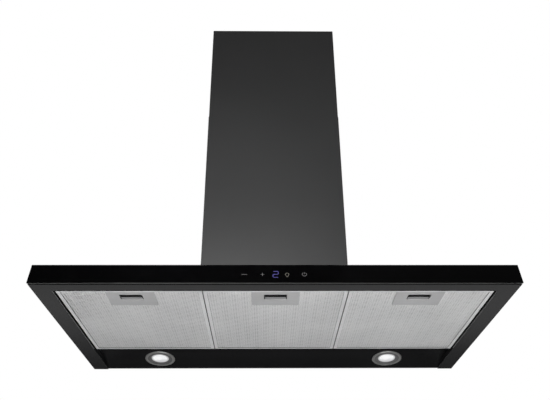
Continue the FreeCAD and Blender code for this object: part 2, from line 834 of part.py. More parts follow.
def scroll_half(plate_y, open_y):
    """One half of the scroll: a side plate with the inlet and half of the spiral wall."""
    top = air_box_top - air_box_sheet
    way = 1 if open_y > plate_y else -1
    body = scroll_outline(scroll_wall, top, plate_y).extrude(Vector(0, open_y - plate_y, 0))
    hollow = scroll_outline(0, top + past, plate_y + way * scroll_wall)
    hollow = hollow.extrude(Vector(0, open_y - plate_y, 0))
    inlet = rod((blower_x, plate_y - way * past, blower_z), (0, way, 0), inlet_radius, scroll_wall + 2 * past)
    return less(body, [hollow, inlet])


def blade():
    """One forward-leaning blade as an x-z face, drawn at the top of the wheel."""
    inner = impeller_radius - blade_chord
    lean_over = blade_chord * 0.35
    half = blade_sheet / 2
    outer = impeller_radius - blade_sheet
    points = [Vector(-half, 0, inner), Vector(half, 0, inner), Vector(lean_over + half, 0, outer),
              Vector(lean_over - half, 0, outer)]
    return Part.Face(Part.makePolygon(points + points[:1]))


def impeller():
    """Two rows of blades on a middle disc, with a rim at each end and a hub."""
    centre = (blower_x, duct_y, blower_z)
    start = duct_y - impeller_length / 2
    inner = impeller_radius - blade_chord
    one = blade().extrude(Vector(0, impeller_length, 0))
    one.translate(Vector(blower_x, start, blower_z))
    blades = []
    for i in range(impeller_blades):
        copy = one.copy()
        copy.rotate(Vector(*centre), Vector(0, 1, 0), 360 * i / impeller_blades)
        blades.append(copy)
    disc = rod((blower_x, duct_y - wheel_disc / 2, blower_z), (0, 1, 0), impeller_radius, wheel_disc)
    hub = rod((blower_x, duct_y - hub_overhang, blower_z), (0, 1, 0), hub_radius,
              hub_overhang + motor_from_middle - hub_gap)
    rims = [ring((blower_x, y, blower_z), (0, 1, 0), impeller_radius, inner + blade_sheet, impeller_rim)
            for y in (start, start + impeller_length - impeller_rim)]
    wheel = joined([disc, hub] + rims + blades)
    return less(wheel, [rod((blower_x, start, blower_z), (0, 1, 0), shaft_radius, impeller_length)])


motor_front = duct_y + motor_from_middle
motor_rear = motor_front + motor_length


def motor_shaft():
    return rod((blower_x, duct_y - shaft_front_reach, blower_z), (0, 1, 0), shaft_radius,
               shaft_front_reach + motor_from_middle + motor_bore_depth)


def motor_screw_places():
    for i in range(3):
        angle = pi / 2 + i * 2 * pi / 3
        yield blower_x + motor_screw_circle * cos(angle), blower_z + motor_screw_circle * sin(angle)


def motor_body():
    """The can, with a bearing boss in front and threads for the bracket's screws."""
    can = rod((blower_x, motor_front + motor_boss_length, blower_z), (0, 1, 0), motor_radius,
              motor_length - motor_boss_length)
    boss = rod((blower_x, motor_front, blower_z), (0, 1, 0), motor_boss_radius, motor_boss_length + past)
    holes = [rod((blower_x, motor_front - past, blower_z), (0, 1, 0), shaft_radius + shaft_clearance,
                 past + motor_bore_depth + shaft_clearance)]
    holes += [rod((x, motor_rear - motor_thread_depth, z), (0, 1, 0), screw_radius, motor_thread_depth + past)
              for x, z in motor_screw_places()]
    return less(joined([can, boss]), holes)


def motor_bushes():
    return [ring((x, motor_rear, z), (0, 1, 0), bush_radius, screw_radius, bush_length)
            for x, z in motor_screw_places()]


def motor_bracket():
    """Three arms on legs that stand on the scroll round its rear inlet."""
    near = motor_rear + bush_length
    hub = rod((blower_x, near, blower_z), (0, 1, 0), motor_screw_circle + bush_radius, bracket_sheet)
    half = bracket_arm_width / 2
    arms = []
    for i in range(3):
        arm = box(-half, half, near, near + bracket_sheet, 0, bracket_reach)
        leg = box(-half, half, scroll_rear_y, near + bracket_sheet, bracket_reach - 2 * bracket_sheet,
                  bracket_reach)
        foot = box(-half, half, scroll_rear_y, scroll_rear_y + bracket_sheet, inlet_radius + bracket_sheet,
                   bracket_reach)
        one = joined([arm, leg, foot])
        one.rotate(Vector(0, 0, 0), Vector(0, 1, 0), 120 * i)
        one.translate(Vector(blower_x, 0, blower_z))
        arms.append(one)
    holes = [rod((x, near - past, z), (0, 1, 0), screw_radius + screw_clearance, bracket_sheet + 2 * past)
             for x, z in motor_screw_places()]
    return less(joined([hub] + arms), holes)


def motor_screws():
    top = motor_rear + bush_length + bracket_sheet
    return [screw((x, top, z), (0, 1, 0), top - motor_rear + bush_length) for x, z in motor_screw_places()]


def inlet_guard():
    """A ring with cross bars over the front inlet."""
    bar = guard_bar
    front = scroll_front_y - bar
    middle = inlet_radius / 2
    centre = (blower_x, front, blower_z)
    guard = [ring(centre, (0, 1, 0), inlet_radius + guard_margin, inlet_radius - bar / 2, bar),
             ring(centre, (0, 1, 0), middle + bar, middle, bar)]
    for angle in (0, 60, 120):
        spoke = box(-inlet_radius, inlet_radius, front, front + bar, -bar / 2, bar / 2)
        spoke.rotate(Vector(0, 0, 0), Vector(0, 1, 0), angle)
        spoke.translate(Vector(blower_x, 0, blower_z))
        guard.append(spoke)
    return joined(guard)


# ---- Outlet -------------------------------------------------------------------------

def adapter_corners(outset):
    half_x = neck_width / 2 + outset
    half_y = scroll_depth / 2 - scroll_wall + outset
    return [(half_x, half_y), (-half_x, half_y), (-half_x, -half_y), (half_x, -half_y)]


def adapter_form(outset, z0, z1):
    """A ruled transition from the neck's rectangle to the duct's circle."""
    corners = [Vector(x, duct_y + y, z0) for x, y in adapter_corners(outset)]
    radius = duct_radius - duct_wall + outset
    angle = degrees(atan((scroll_depth / 2 - scroll_wall) / (neck_width / 2)))
    turns = [angle, 180 - angle, 180 + angle, 360 - angle, 360 + angle]

    def at(turn):
        return Vector(radius * cos(radians(turn)), duct_y + radius * sin(radians(turn)), z1)

    lines = [Part.makeLine(corners[i], corners[(i + 1) % 4]) for i in range(4)]
    arcs = [Part.Arc(at(a), at((a + b) / 2), at(b)).toShape() for a, b in zip(turns, turns[1:])]
    return Part.makeLoft([Part.Wire(lines), Part.Wire(arcs)], True, True)


def outlet_screw_places():
    inset = adapter_flange / 2 + duct_wall
    for x, y in adapter_corners(inset):
        yield x, duct_y + y


def outlet_adapter():
    """A flange on the air box, the transition, and a rim that the collar stands on."""
    s = air_box_sheet
    low = air_box_top + s
    (x, y), *_ = adapter_corners(duct_wall + adapter_flange)
    flange = box(-x, x, duct_y - y, duct_y + y, air_box_top, low + s)
    rim = rod((0, duct_y, collar_bottom - s), (0, 0, 1), duct_radius + collar_foot_width, 2 * s)
    outer = adapter_form(duct_wall, low, collar_bottom)
    inner = adapter_form(0, low, collar_bottom)
    (x, y), *_ = adapter_corners(0)
    holes = [inner, box(-x, x, duct_y - y, duct_y + y, air_box_top - past, low),
             rod((0, duct_y, collar_bottom), (0, 0, 1), duct_radius - duct_wall, s + past)]
    for x, y in outlet_screw_places():
        holes.append(rod((x, y, air_box_top - past), (0, 0, 1), screw_radius + screw_clearance,
                         2 * (s + past)))
        holes.append(rod((x, y, low + s), (0, 0, 1), screw_head_radius + fit_clearance, adapter_rise))
    return less(joined([flange, outer, rim]), holes)


def outlet_collar():
    """The round spigot that the duct slides over, with the flaps' seat and the pin's holes."""
    base = collar_bottom + air_box_sheet
    inside = duct_radius - duct_wall
    tube = ring((0, duct_y, base), (0, 0, 1), duct_radius, inside, collar_length)
    foot = ring((0, duct_y, base), (0, 0, 1), duct_radius + collar_foot_width, inside, duct_wall)
    seat = ring((0, duct_y, base), (0, 0, 1), inside, inside - flap_seat_width, flap_seat_top - base)
    pin_hole = rod((0, duct_y - duct_radius - past, pin_z), (0, 1, 0), flap_pin_radius,
                   2 * (duct_radius + past))
    return less(joined([tube, foot, seat]), [pin_hole])


def flap_pin():
    return rod((0, duct_y - duct_radius, pin_z), (0, 1, 0), flap_pin_radius, 2 * duct_radius)


def flap(side):
    """Half a disc with knuckles on the shared pin; side is -1 for left and 1 for right."""
    radius = duct_radius - duct_wall - flap_clearance
    knuckle_radius = flap_pin_radius + knuckle_wall
    clear = knuckle_radius + flap_clearance
    top = flap_bottom + flap_thickness
    disc = rod((0, duct_y, flap_bottom), (0, 0, 1), radius, flap_thickness)
    a, b = sorted((side * clear, side * (radius + past)))
    plate = disc.common(box(a, b, duct_y - radius, duct_y + radius, flap_bottom, top))
    a, b = sorted((0, side * (clear + flap_thickness)))
    half = knuckle_length / 2
    reach = radius - knuckle_length
    pitch = 2 * reach / (2 * knuckle_rows - 1)
    knuckles = []
    for i in range(knuckle_rows):
        middle = duct_y - reach + (2 * i + (side > 0)) * pitch
        barrel = rod((0, middle - half, pin_z), (0, 1, 0), knuckle_radius, knuckle_length)
        web = box(a, b, middle - half, middle + half, flap_bottom, top)
        knuckles.append(barrel.fuse(web))
    bore = rod((0, duct_y - duct_radius, pin_z), (0, 1, 0), flap_pin_radius + shaft_clearance,
               2 * duct_radius)
    return less(joined([plate] + knuckles), [bore])


# ---- Electrics ----------------------------------------------------------------------

def control_box():
    """A plastic box on the canopy beside the blower, open in front."""
    w = plastic_wall
    left, right, top = control_box_left, control_box_right, control_box_top
    floor = canopy_height + w
    outer = box(left, right, control_box_front, control_box_rear, canopy_height, top)
    inner = box(left + w, right - w, control_box_front - past, control_box_rear - w, floor, top - w)
    reach = w + 2 * past
    gland_hole = rod((gland_x, gland_y, top - w - past), (0, 0, 1), gland_bore_radius + gland_wall, reach)
    stud_hole = rod((left - past, capacitor_y, capacitor_z), (1, 0, 0), stud_radius, reach)
    return less(outer, [inner, gland_hole, stud_hole, cable_hole(canopy_height - past, floor + past)])


def control_box_lid():
    """A front plate with a rim that fits inside the box."""
    w = plastic_wall
    left, right, front = control_box_left, control_box_right, control_box_front
    plate = box(left, right, front - w, front, canopy_height, control_box_top)
    fit = w + fit_clearance
    rim = box(left + fit, right - fit, front - w / 2, front + lid_rim_depth,
              canopy_height + fit, control_box_top - fit)
    hollow = box(left + fit + w, right - fit - w, front, front + lid_rim_depth + past,
                 canopy_height + fit + w, control_box_top - fit - w)
    return joined([plate, rim]).cut(hollow)


def main_board():
    """The board on four posts on the box's floor, with a transformer and two relays."""
    floor = canopy_height + plastic_wall
    z = floor + board_post_height
    margin = plastic_wall + board_end_gap
    left, right = control_box_left + margin, control_box_right - margin
    front, rear = control_box_front + board_front_gap, control_box_rear - margin
    pieces = [box(left, right, front, rear, z, z + circuit_board_thickness)]
    for x in (left + board_post_inset, right - board_post_inset):
        for y in (front + board_post_inset, rear - board_post_inset):
            pieces.append(rod((x, y, floor), (0, 0, 1), board_post_radius, board_post_height))
    gap = component_gap
    pieces.append(box(left + gap, left + gap + transformer_length, rear - gap - transformer_width, rear - gap,
                      z, z + transformer_height))
    for y in (front + gap, front + 2 * gap + relay_width):
        pieces.append(box(right - gap - relay_length, right - gap, y, y + relay_width, z, z + relay_height))
    return joined(pieces)


capacitor_y = control_box_front + capacitor_radius + lid_rim_depth + stud_length
capacitor_z = control_box_top - plastic_wall - capacitor_radius - board_end_gap


def motor_capacitor():
    """A round can across the box above the board, held by its stud and nut in the left wall."""
    left = control_box_left
    can = rod((left + plastic_wall, capacitor_y, capacitor_z), (1, 0, 0), capacitor_radius, capacitor_length)
    stud = rod((left - stud_length, capacitor_y, capacitor_z), (1, 0, 0), stud_radius,
               stud_length + plastic_wall)
    nut = rod((left - stud_nut_height, capacitor_y, capacitor_z), (1, 0, 0), 2 * stud_radius, stud_nut_height)
    return joined([can, stud, nut])


gland_x = (control_box_left + control_box_right) / 2 + capacitor_radius
gland_y = control_box_rear - control_box_depth / 4


def cable_gland():
    """The mains inlet: a body through the box's top, a flange inside and a nut outside."""
    low = control_box_top - plastic_wall - gland_flange_height
    outside = gland_bore_radius + gland_wall
    body = rod((gland_x, gland_y, low), (0, 0, 1), outside, gland_length)
    flange = rod((gland_x, gland_y, low), (0, 0, 1), outside + gland_flange_width, gland_flange_height)
    corners = [(gland_x + gland_nut_radius * cos(i * pi / 3), gland_y + gland_nut_radius * sin(i * pi / 3))
               for i in range(6)]
    nut = along_z(corners, control_box_top, control_box_top + gland_nut_height)
    bore = rod((gland_x, gland_y, low - past), (0, 0, 1), gland_bore_radius, gland_length + 2 * past)
    return less(joined([body, flange, nut]), [bore])


def led_driver():
    """A closed block on the light panel's flat, with two feet."""
    middle = -(panel_slope_depth + panel_flat_depth) / 2
    left, right = driver_place - driver_length / 2, driver_place + driver_length / 2
    z = panel_flat_height + panel_sheet
    block = box(left, right, middle - driver_depth / 2, middle + driver_depth / 2, z, z + driver_height)
    feet = box(left - driver_foot_length, right + driver_foot_length, middle - driver_depth / 4,
               middle + driver_depth / 4, z, z + driver_foot_height)
    return joined([block, feet])


lead_rise = lamp_base + lead_radius + lead_clearance


def lamp_leads():
    """A round lead from each end of the driver, along the panel's fold and down to a lamp."""
    fold_y = -panel_slope_depth - 4 * lead_radius
    fold_z = panel_flat_height + panel_sheet + lead_radius + lead_clearance
    lamp_y = -lamp_from_wall + lead_rise * sin(panel_tilt)
    lamp_z = lamp_height + lead_rise * cos(panel_tilt)
    leads = []
    for side in (-1, 1):
        turn_x = side * (lamp_x - lamp_body_radius - lead_bend)
        points = [Vector(driver_place + side * driver_length / 2, fold_y, fold_z),
                  Vector(turn_x - side * 2 * lead_bend, fold_y, fold_z),
                  Vector(turn_x, lamp_y, lamp_z),
                  Vector(side * (lamp_x - lamp_body_radius + lamp_wall + lead_radius), lamp_y, lamp_z)]
        leads.append(tube_through(points, lead_radius, lead_bend))
    return leads


def tube_through(points, radius, bend):
    """A round tube along straight runs with an arc at each corner."""
    edges = []
    last = points[0]
    for before, corner, after in zip(points, points[1:], points[2:]):
        into = (corner - before).normalize()
        out = (after - corner).normalize()
        half_turn = into.getAngle(out) / 2
        back = bend * tan(half_turn)
        start = corner - into * back
        end = corner + out * back
        inward = (out - into).normalize()
        middle = corner + inward * (bend / cos(half_turn) - bend)
        edges += [Part.makeLine(last, start), Part.Arc(start, middle, end).toShape()]
        last = end
    edges.append(Part.makeLine(last, points[-1]))
    direction = (points[1] - points[0]).normalize()
    section = Part.Wire(Part.makeCircle(radius, points[0], direction))
    return Part.Wire(edges).makePipeShell([section], True, True)


def case_screws():
    """The like screws of the air box, the lower cover's feet, the outlet and the light panel."""
    down, up = (0, 0, -1), (0, 0, 1)
    box_face = canopy_height + air_box_sheet
    outlet_face = air_box_top + 2 * air_box_sheet
    screws = [screw((x, y, box_face), up, screw_length) for x, y in air_box_screw_places()]
    screws += [screw((x, y, roof), down, screw_length) for x, y in chimney_foot_screw_places()]
    screws += [screw((x, y, outlet_face), up, screw_length) for x, y in outlet_screw_places()]
    panel_face = wall_inside - panel_sheet
    screws += [screw((x, panel_face, z), (0, -1, 0), -panel_face) for x, z in panel_screw_places()]
    return screws


# ---- What the hood hangs on ---------------------------------------------------------

hook_shelf = air_box_top - hook_rise
wall_bracket_lip = -hook_drop - wall_bracket_sheet


def wall_bracket():
    """A strip on the wall with a shelf and an upturned lip."""
    s = wall_bracket_sheet
    half = wall_bracket_width / 2
    shelf_z = hook_shelf - hook_drop
    line = [(0, shelf_z - wall_bracket_height), (0, shelf_z), (wall_bracket_lip, shelf_z),
            (wall_bracket_lip, hook_shelf)]
    strip = along_x(folded(line, s), -half, half)
    hole_z = shelf_z - wall_bracket_height / 2
    holes = [rod((x, -s - past, hole_z), (0, 1, 0), wall_screw_radius, s + 2 * past)
             for x in (-wall_screw_spacing / 2, wall_screw_spacing / 2)]
    return less(strip, holes)


def hang_hooks():
    """Two hooks on the air box's rear wall that reach over the bracket's lip."""
    s = wall_bracket_sheet
    rear = wall_bracket_lip / 2
    line = [(air_box_rear, hook_shelf - wall_bracket_height), (air_box_rear, hook_shelf + s),
            (rear, hook_shelf + s), (rear, hook_shelf - hook_drop + s)]
    outline = folded(line, -s)
    return [along_x(outline, x - hook_width / 2, x + hook_width / 2)
            for x in (air_box_left + hook_width, air_box_right - hook_width)]


# ---- Build --------------------------------------------------------------------------

def build():
    os.makedirs("parts", exist_ok=True)
    save("canopy_shell", canopy_shell())
    save("front_glass", front_glass())
    save("glass_tape", *glass_tape())
    save("underside_frame", underside_frame())
    save("light_panel", light_panel())
    for index, name in enumerate(("left", "middle", "right")):
        x0 = filter_left_edge(index)
        save("filter_" + name + "_frame", filter_frame(x0))
        save("filter_" + name + "_mesh", filter_mesh(x0))
        save("filter_" + name + "_latch_cup", latch_cup(x0))
        save("filter_" + name + "_latch", latch(x0))
        save("filter_" + name + "_spring", latch_spring(x0))
    for name, x in lamp_places().items():
        save("lamp_" + name + "_bezel", lamp_bezel(x))
        save("lamp_" + name + "_lens", lamp_lens(x))
    save("lamp_housings", *[lamp_housing(x) for x in lamp_places().values()])
    save("lamp_led_boards", *[led_board(x) for x in lamp_places().values()])
    save("lamp_clips", *[clip for x in lamp_places().values() for clip in lamp_clips(x)])
    save("control_housing", control_housing())
    save("touch_board", touch_board())
    save("display_module", display_module())
    save("touch_cable", touch_cable())
    save("chimney_lower", chimney_lower())
    save("chimney_upper", chimney_upper())
    top_bracket = chimney_top - 2 * chimney_bracket_height
    joint_bracket = canopy_height + lower_cover_height - 2 * chimney_bracket_height
    save("chimney_bracket_upper", chimney_bracket(top_bracket))
    save("chimney_bracket_lower", chimney_bracket(joint_bracket))
    save("air_box", air_box())
    save("scroll_front", scroll_half(scroll_front_y, duct_y))
    save("scroll_rear", scroll_half(scroll_rear_y, duct_y))
    save("impeller", impeller())
    save("motor_shaft", motor_shaft())
    save("motor_body", motor_body())
    save("motor_bushes", *motor_bushes())
    save("motor_bracket", motor_bracket())
    save("motor_screws", *motor_screws())
    save("inlet_guard", inlet_guard())
    save("outlet_adapter", outlet_adapter())
    save("outlet_collar", outlet_collar())
    save("flap_pin", flap_pin())
    save("flap_left", flap(-1))
    save("flap_right", flap(1))
    save("control_box", control_box())
    save("control_box_lid", control_box_lid())
    save("main_board", main_board())
    save("motor_capacitor", motor_capacitor())
    save("cable_gland", cable_gland())
    save("led_driver", led_driver())
    save("lamp_leads", *lamp_leads())
    save("case_screws", *case_screws())
    save("wall_bracket", wall_bracket())
    save("hang_hooks", *hang_hooks())


build()
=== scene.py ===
from math import atan, cos, hypot, pi, radians, sin

import bmesh
import bpy
from mathutils import Matrix, Vector


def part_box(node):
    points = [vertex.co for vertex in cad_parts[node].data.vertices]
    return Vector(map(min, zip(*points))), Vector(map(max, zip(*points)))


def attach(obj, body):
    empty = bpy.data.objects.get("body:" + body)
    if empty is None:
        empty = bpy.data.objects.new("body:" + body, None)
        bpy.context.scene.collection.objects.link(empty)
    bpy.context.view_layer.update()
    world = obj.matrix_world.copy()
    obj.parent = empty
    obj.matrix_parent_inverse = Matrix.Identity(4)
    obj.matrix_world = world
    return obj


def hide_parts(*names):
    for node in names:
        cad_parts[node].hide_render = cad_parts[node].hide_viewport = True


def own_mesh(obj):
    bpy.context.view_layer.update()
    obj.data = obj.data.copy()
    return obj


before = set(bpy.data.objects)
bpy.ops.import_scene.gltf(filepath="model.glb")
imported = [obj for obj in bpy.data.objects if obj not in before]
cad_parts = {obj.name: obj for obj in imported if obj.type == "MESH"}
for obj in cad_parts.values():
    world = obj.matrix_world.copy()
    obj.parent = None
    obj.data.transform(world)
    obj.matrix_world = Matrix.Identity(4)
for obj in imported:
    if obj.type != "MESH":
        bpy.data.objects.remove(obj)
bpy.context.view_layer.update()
mm = 0.001

# ---- Camera -------------------------------------------------------------------------
# It stands low in front of the hood, a little left of its middle, and looks up at it,
# as the photographer did.
eye = Vector((-15.9, -1594.1, -483.8)) * mm
eye_yaw, eye_pitch, eye_roll = radians(0.776), radians(28.07), radians(-0.337)
ahead = Vector((sin(eye_yaw) * cos(eye_pitch), cos(eye_yaw) * cos(eye_pitch), sin(eye_pitch)))
level = Vector((cos(eye_yaw), -sin(eye_yaw), 0))
above = level.cross(ahead)
right = level * cos(eye_roll) + above * sin(eye_roll)
upward = above * cos(eye_roll) - level * sin(eye_roll)
camera_data = bpy.data.cameras.new("camera")
camera_data.sensor_width, camera_data.lens = 36.0, 42.49
camera_data.shift_y = 0.0736
camera_data.dof.use_dof = False
camera = bpy.data.objects.new("camera", camera_data)
turned_to = Matrix((right, upward, -ahead)).transposed().to_4x4()
camera.matrix_world = Matrix.Translation(eye) @ turned_to
bpy.context.scene.collection.objects.link(camera)
bpy.context.scene.camera = camera
bpy.context.scene.view_settings.view_transform = "Standard"

# ---- Studio -------------------------------------------------------------------------
# A plain white sweep that only the camera sees, a dim surround for reflections, soft light
# panels, and far below the hood a pale floor that no reflection shows.
backdrop = 1.0
surround = 0.012
# Each panel: its place, the point it faces, its width and height in metres, its watts.
light_panels = {
    "under_front": ((0.05, -1.05, -1.32), (0, -0.3, 0.0), (1.5, 0.8), 29.5),
    "low_back": ((0.0, 1.6, -1.45), (0, -0.3, 0.0), (2.4, 0.3), 0.1),
    "low_far": ((0.0, 3.4, -1.655), (0, -0.3, 0.0), (5.8, 0.62), 3.5),
    "face_low": ((-0.25, -1.10, 0.16), (-0.1, -0.285, 0.16), (0.5, 0.25), 2.6),
    "face_near": ((-0.10, -0.75, 0.10), (-0.05, -0.285, 0.12), (0.5, 0.12), 1.5),
    "face_high": ((0.0, -1.80, 0.90), (0, -0.285, 0.4), (1.2, 0.8), 2.8),
    "glass_right": ((0.95, -1.90, 2.0), (0.3, -0.525, 0.02), (1.1, 1.2), 0.16),
    "left": ((-2.2, 0.1, 0.7), (0, -0.2, 0.3), (1.4, 1.6), 40.0),
    "right": ((2.2, 0.1, 0.7), (0, -0.2, 0.3), (1.4, 1.6), 36.0),
    "over": ((0.0, 0.5, 2.4), (0, -0.2, 0.1), (2.0, 1.2), 60.0),
    "behind": ((0.0, 2.4, 0.6), (0, 0, 0.3), (2.0, 1.2), 40.0),
}
floor_drop, floor_reach = 2.1, 60.0
floor_glow = 1.05
floor_pale, floor_white = (0.86, 0.86, 0.86, 1), (0.90, 0.90, 0.90, 1)


def place(tree, kind, inputs=None, **settings):
    """Adds a shader node, sets it up and fills or wires its inputs by name."""
    made = tree.nodes.new("ShaderNode" + kind)
    for key, value in settings.items():
        setattr(made, key, value)
    for key, value in (inputs or {}).items():
        if isinstance(value, bpy.types.NodeSocket):
            tree.links.new(value, made.inputs[key])
        else:
            made.inputs[key].default_value = value
    return made


world = bpy.data.worlds.new("studio")
bpy.context.scene.world = world
world.use_nodes = True
tree = world.node_tree
tree.nodes.clear()
seen = place(tree, "Background", {"Color": (1, 1, 1, 1), "Strength": backdrop})
around = place(tree, "Background", {"Color": (0.95, 0.97, 1, 1), "Strength": surround})
path = place(tree, "LightPath")
both = place(tree, "MixShader", {0: path.outputs["Is Camera Ray"], 1: around.outputs[0],
                                 2: seen.outputs[0]})
place(tree, "OutputWorld", {"Surface": both.outputs[0]})

for name, (at, towards, size, power) in light_panels.items():
    light = bpy.data.lights.new(name, "AREA")
    light.shape = "RECTANGLE"
    light.size, light.size_y = size
    light.energy = power
    panel = bpy.data.objects.new(name, light)
    panel.location = at
    panel.rotation_euler = (Vector(towards) - Vector(at)).to_track_quat("-Z", "Z").to_euler()
    panel.visible_camera = False
    bpy.context.scene.collection.objects.link(panel)


def shown(name, mesh, material):
    """Puts a mesh into the scene with a material."""
    mesh.materials.append(material)
    made = bpy.data.objects.new(name, mesh)
    bpy.context.scene.collection.objects.link(made)
    return made


def piece(name, points, faces, material):
    """A mesh object in the row frame from points in metres."""
    mesh = bpy.data.meshes.new(name)
    mesh.from_pydata(points, [], faces)
    mesh.validate()
    return shown(name, mesh, material)


def finish_of(name, inputs):
    """A material with its Principled shader, wired to the output."""
    material = bpy.data.materials.new(name)
    material.use_nodes = True
    tree = material.node_tree
    tree.nodes.clear()
    shader = place(tree, "BsdfPrincipled", inputs)
    place(tree, "OutputMaterial", {"Surface": shader.outputs[0]})
    return material, tree, shader


def mixed(tree, share, a, b):
    """The colour between a and b, by a share from 0 to 1."""
    mix = place(tree, "Mix", {0: share, 6: a, 7: b}, data_type="RGBA")
    return mix.outputs[2]


def ranged(tree, value, low, high, to_low=0.0, to_high=1.0):
    """The value moved from one range to another and kept inside it."""
    inputs = {"Value": value, "From Min": low, "From Max": high, "To Min": to_low,
              "To Max": to_high}
    return place(tree, "MapRange", inputs).outputs["Result"]


def own_place(tree):
    """The point on the piece itself, which every texture follows."""
    return place(tree, "TexCoord").outputs["Object"]


floor_finish, tree, shader = finish_of("floor_finish", {"Roughness": 0.85,
                                                        "Emission Strength": floor_glow})
cloud = place(tree, "TexNoise", {"Vector": own_place(tree), "Scale": 3.0, "Detail": 4.0})
shade = mixed(tree, ranged(tree, cloud.outputs["Fac"], 0.3, 0.7), floor_pale, floor_white)
tree.links.new(shade, shader.inputs["Base Color"])
tree.links.new(shade, shader.inputs["Emission Color"])
floor_corners = [(x * floor_reach, y * floor_reach, -floor_drop)
                 for x, y in ((-1, -1), (1, -1), (1, 1), (-1, 1))]
floor = piece("floor", floor_corners, [(0, 1, 2, 3)], floor_finish)
floor.visible_glossy = False
floor.visible_diffuse = False

# ---- Canopy shell -------------------------------------------------------------------
# The thin tray that all else is fixed to: one blank of 1 mm steel, folded down at the
# front, rear and ends, then powder coated satin black. Its edges are lightly broken.
shell_edge = 0.4 * mm
shell_colour = (0.030, 0.030, 0.031, 1)
sharp_turn, flat_turn = radians(28.0), radians(0.2)
merge_within = 2e-6


def effect(name, inputs, outputs):
    """A shader node group with named sockets, and its two ends."""
    group = bpy.data.node_groups.new(name, "ShaderNodeTree")
    for label, kind, value in inputs:
        socket = group.interface.new_socket(label, in_out="INPUT", socket_type="NodeSocket" + kind)
        socket.default_value = value
    for label, kind in outputs:
        group.interface.new_socket(label, in_out="OUTPUT", socket_type="NodeSocket" + kind)
    return group, group.nodes.new("NodeGroupInput"), group.nodes.new("NodeGroupOutput")


def maths(tree, operation, a, b):
    """One sum of two values or sockets."""
    return place(tree, "Math", {0: a, 1: b}, operation=operation).outputs[0]


# Fine grain: the orange peel of a coat or the spark texture of a moulding.
grain, ins, outs = effect("fine_grain", [("Scale", "Float", 900.0), ("Detail", "Float", 3.0)],
                          [("Height", "Float"), ("Speckle", "Float")])
where = own_place(grain)
peel = place(grain, "TexNoise", {"Vector": where, "Scale": ins.outputs["Scale"],
                                 "Detail": ins.outputs["Detail"], "Roughness": 0.55})
coarser = maths(grain, "MULTIPLY", ins.outputs["Scale"], 0.37)
fleck = place(grain, "TexNoise", {"Vector": where, "Scale": coarser, "Detail": 1.0})
grain.links.new(peel.outputs["Fac"], outs.inputs["Height"])
grain.links.new(ranged(grain, fleck.outputs["Fac"], 0.35, 0.65), outs.inputs["Speckle"])

# Soft patches: the slow change of shade that handling and wiping leave on a surface.
patches, ins, outs = effect("soft_patches", [("Scale", "Float", 6.0), ("Softness", "Float", 0.2)],
                            [("Mask", "Float")])
cloud = place(patches, "TexNoise", {"Vector": own_place(patches), "Scale": ins.outputs["Scale"],
                                    "Detail": 3.0, "Distortion": 0.4})
low = maths(patches, "SUBTRACT", 0.5, ins.outputs["Softness"])
high = maths(patches, "ADD", 0.5, ins.outputs["Softness"])
patches.links.new(ranged(patches, cloud.outputs["Fac"], low, high), outs.inputs["Mask"])

# Edge wear: broken edges rubbed a little brighter, in short uneven lengths.
edge_wear, ins, outs = effect("edge_wear", [("Edge", "Float", 0.0), ("Scale", "Float", 90.0),
                                            ("Amount", "Float", 0.4)], [("Mask", "Float")])
chips = place(edge_wear, "TexNoise", {"Vector": own_place(edge_wear),
                                      "Scale": ins.outputs["Scale"], "Detail": 2.0})
lengths = ranged(edge_wear, chips.outputs["Fac"], 0.42, 0.62)
rubbed = maths(edge_wear, "MULTIPLY", lengths, ins.outputs["Edge"])
amount = maths(edge_wear, "MULTIPLY", rubbed, ins.outputs["Amount"])
edge_wear.links.new(amount, outs.inputs["Mask"])


def group_in(tree, group, inputs):
    """An effect's node group, set up or wired by name."""
    return place(tree, "Group", inputs, node_tree=group)


def shades(colour, spread):
    """A darker and a lighter shade of a colour."""
    return (tuple(c * (1 - spread) for c in colour[:3]) + (1,),
            tuple(min(1, c * (1 + spread)) for c in colour[:3]) + (1,))


def rubbed_edges(tree, amount):
    """The share of bright rubbed edge at each point of a piece."""
    edge = place(tree, "Attribute", attribute_name="edge").outputs["Fac"]
    return group_in(tree, edge_wear, {"Edge": edge, "Amount": amount}).outputs["Mask"]


def bumped(tree, shader, height, strength, depth):
    """Raises and sinks the surface by a height, to a depth in millimetres."""
    bump = place(tree, "Bump", {"Height": height, "Strength": strength, "Distance": depth * mm})
    tree.links.new(bump.outputs[0], shader.inputs["Normal"])


def coated(name, colour, roughness, scale, depth, spread=0.25, patch_scale=6.0, wear=0.3,
           worn=(0.25, 0.25, 0.25, 1), shine=0.5, coat=0.0, metal=0.0):
    """A coat or a moulding: fine grain, soft patches and rubbed edges over one colour."""
    material, tree, shader = finish_of(name, {"Specular IOR Level": shine, "Coat Weight": coat,
                                              "Coat Roughness": 0.08, "Metallic": metal})
    texture = group_in(tree, grain, {"Scale": scale})
    patch = group_in(tree, patches, {"Scale": patch_scale}).outputs["Mask"]
    share = maths(tree, "MULTIPLY", maths(tree, "ADD", texture.outputs["Speckle"], patch), 0.5)
    shade = mixed(tree, rubbed_edges(tree, wear), mixed(tree, share, *shades(colour, spread)), worn)
    tree.links.new(shade, shader.inputs["Base Color"])
    rough = ranged(tree, share, 0.0, 1.0, roughness * 0.88, min(1.0, roughness * 1.12))
    tree.links.new(rough, shader.inputs["Roughness"])
    bumped(tree, shader, texture.outputs["Height"], 0.5, depth)
    return material


def ease_edges(shape, radius):
    """Rounds the sharp edges of a shape; the new faces carry an edge mark for wear."""
    mark = shape.faces.layers.float.new("edge")
    corners = [edge for edge in shape.edges
               if len(edge.link_faces) == 2 and edge.calc_face_angle(0) > sharp_turn]
    done = bmesh.ops.bevel(shape, geom=corners, offset=radius, segments=2, profile=0.5,
                           affect="EDGES", clamp_overlap=True)
    for face in done["faces"]:
        face[mark] = 1.0


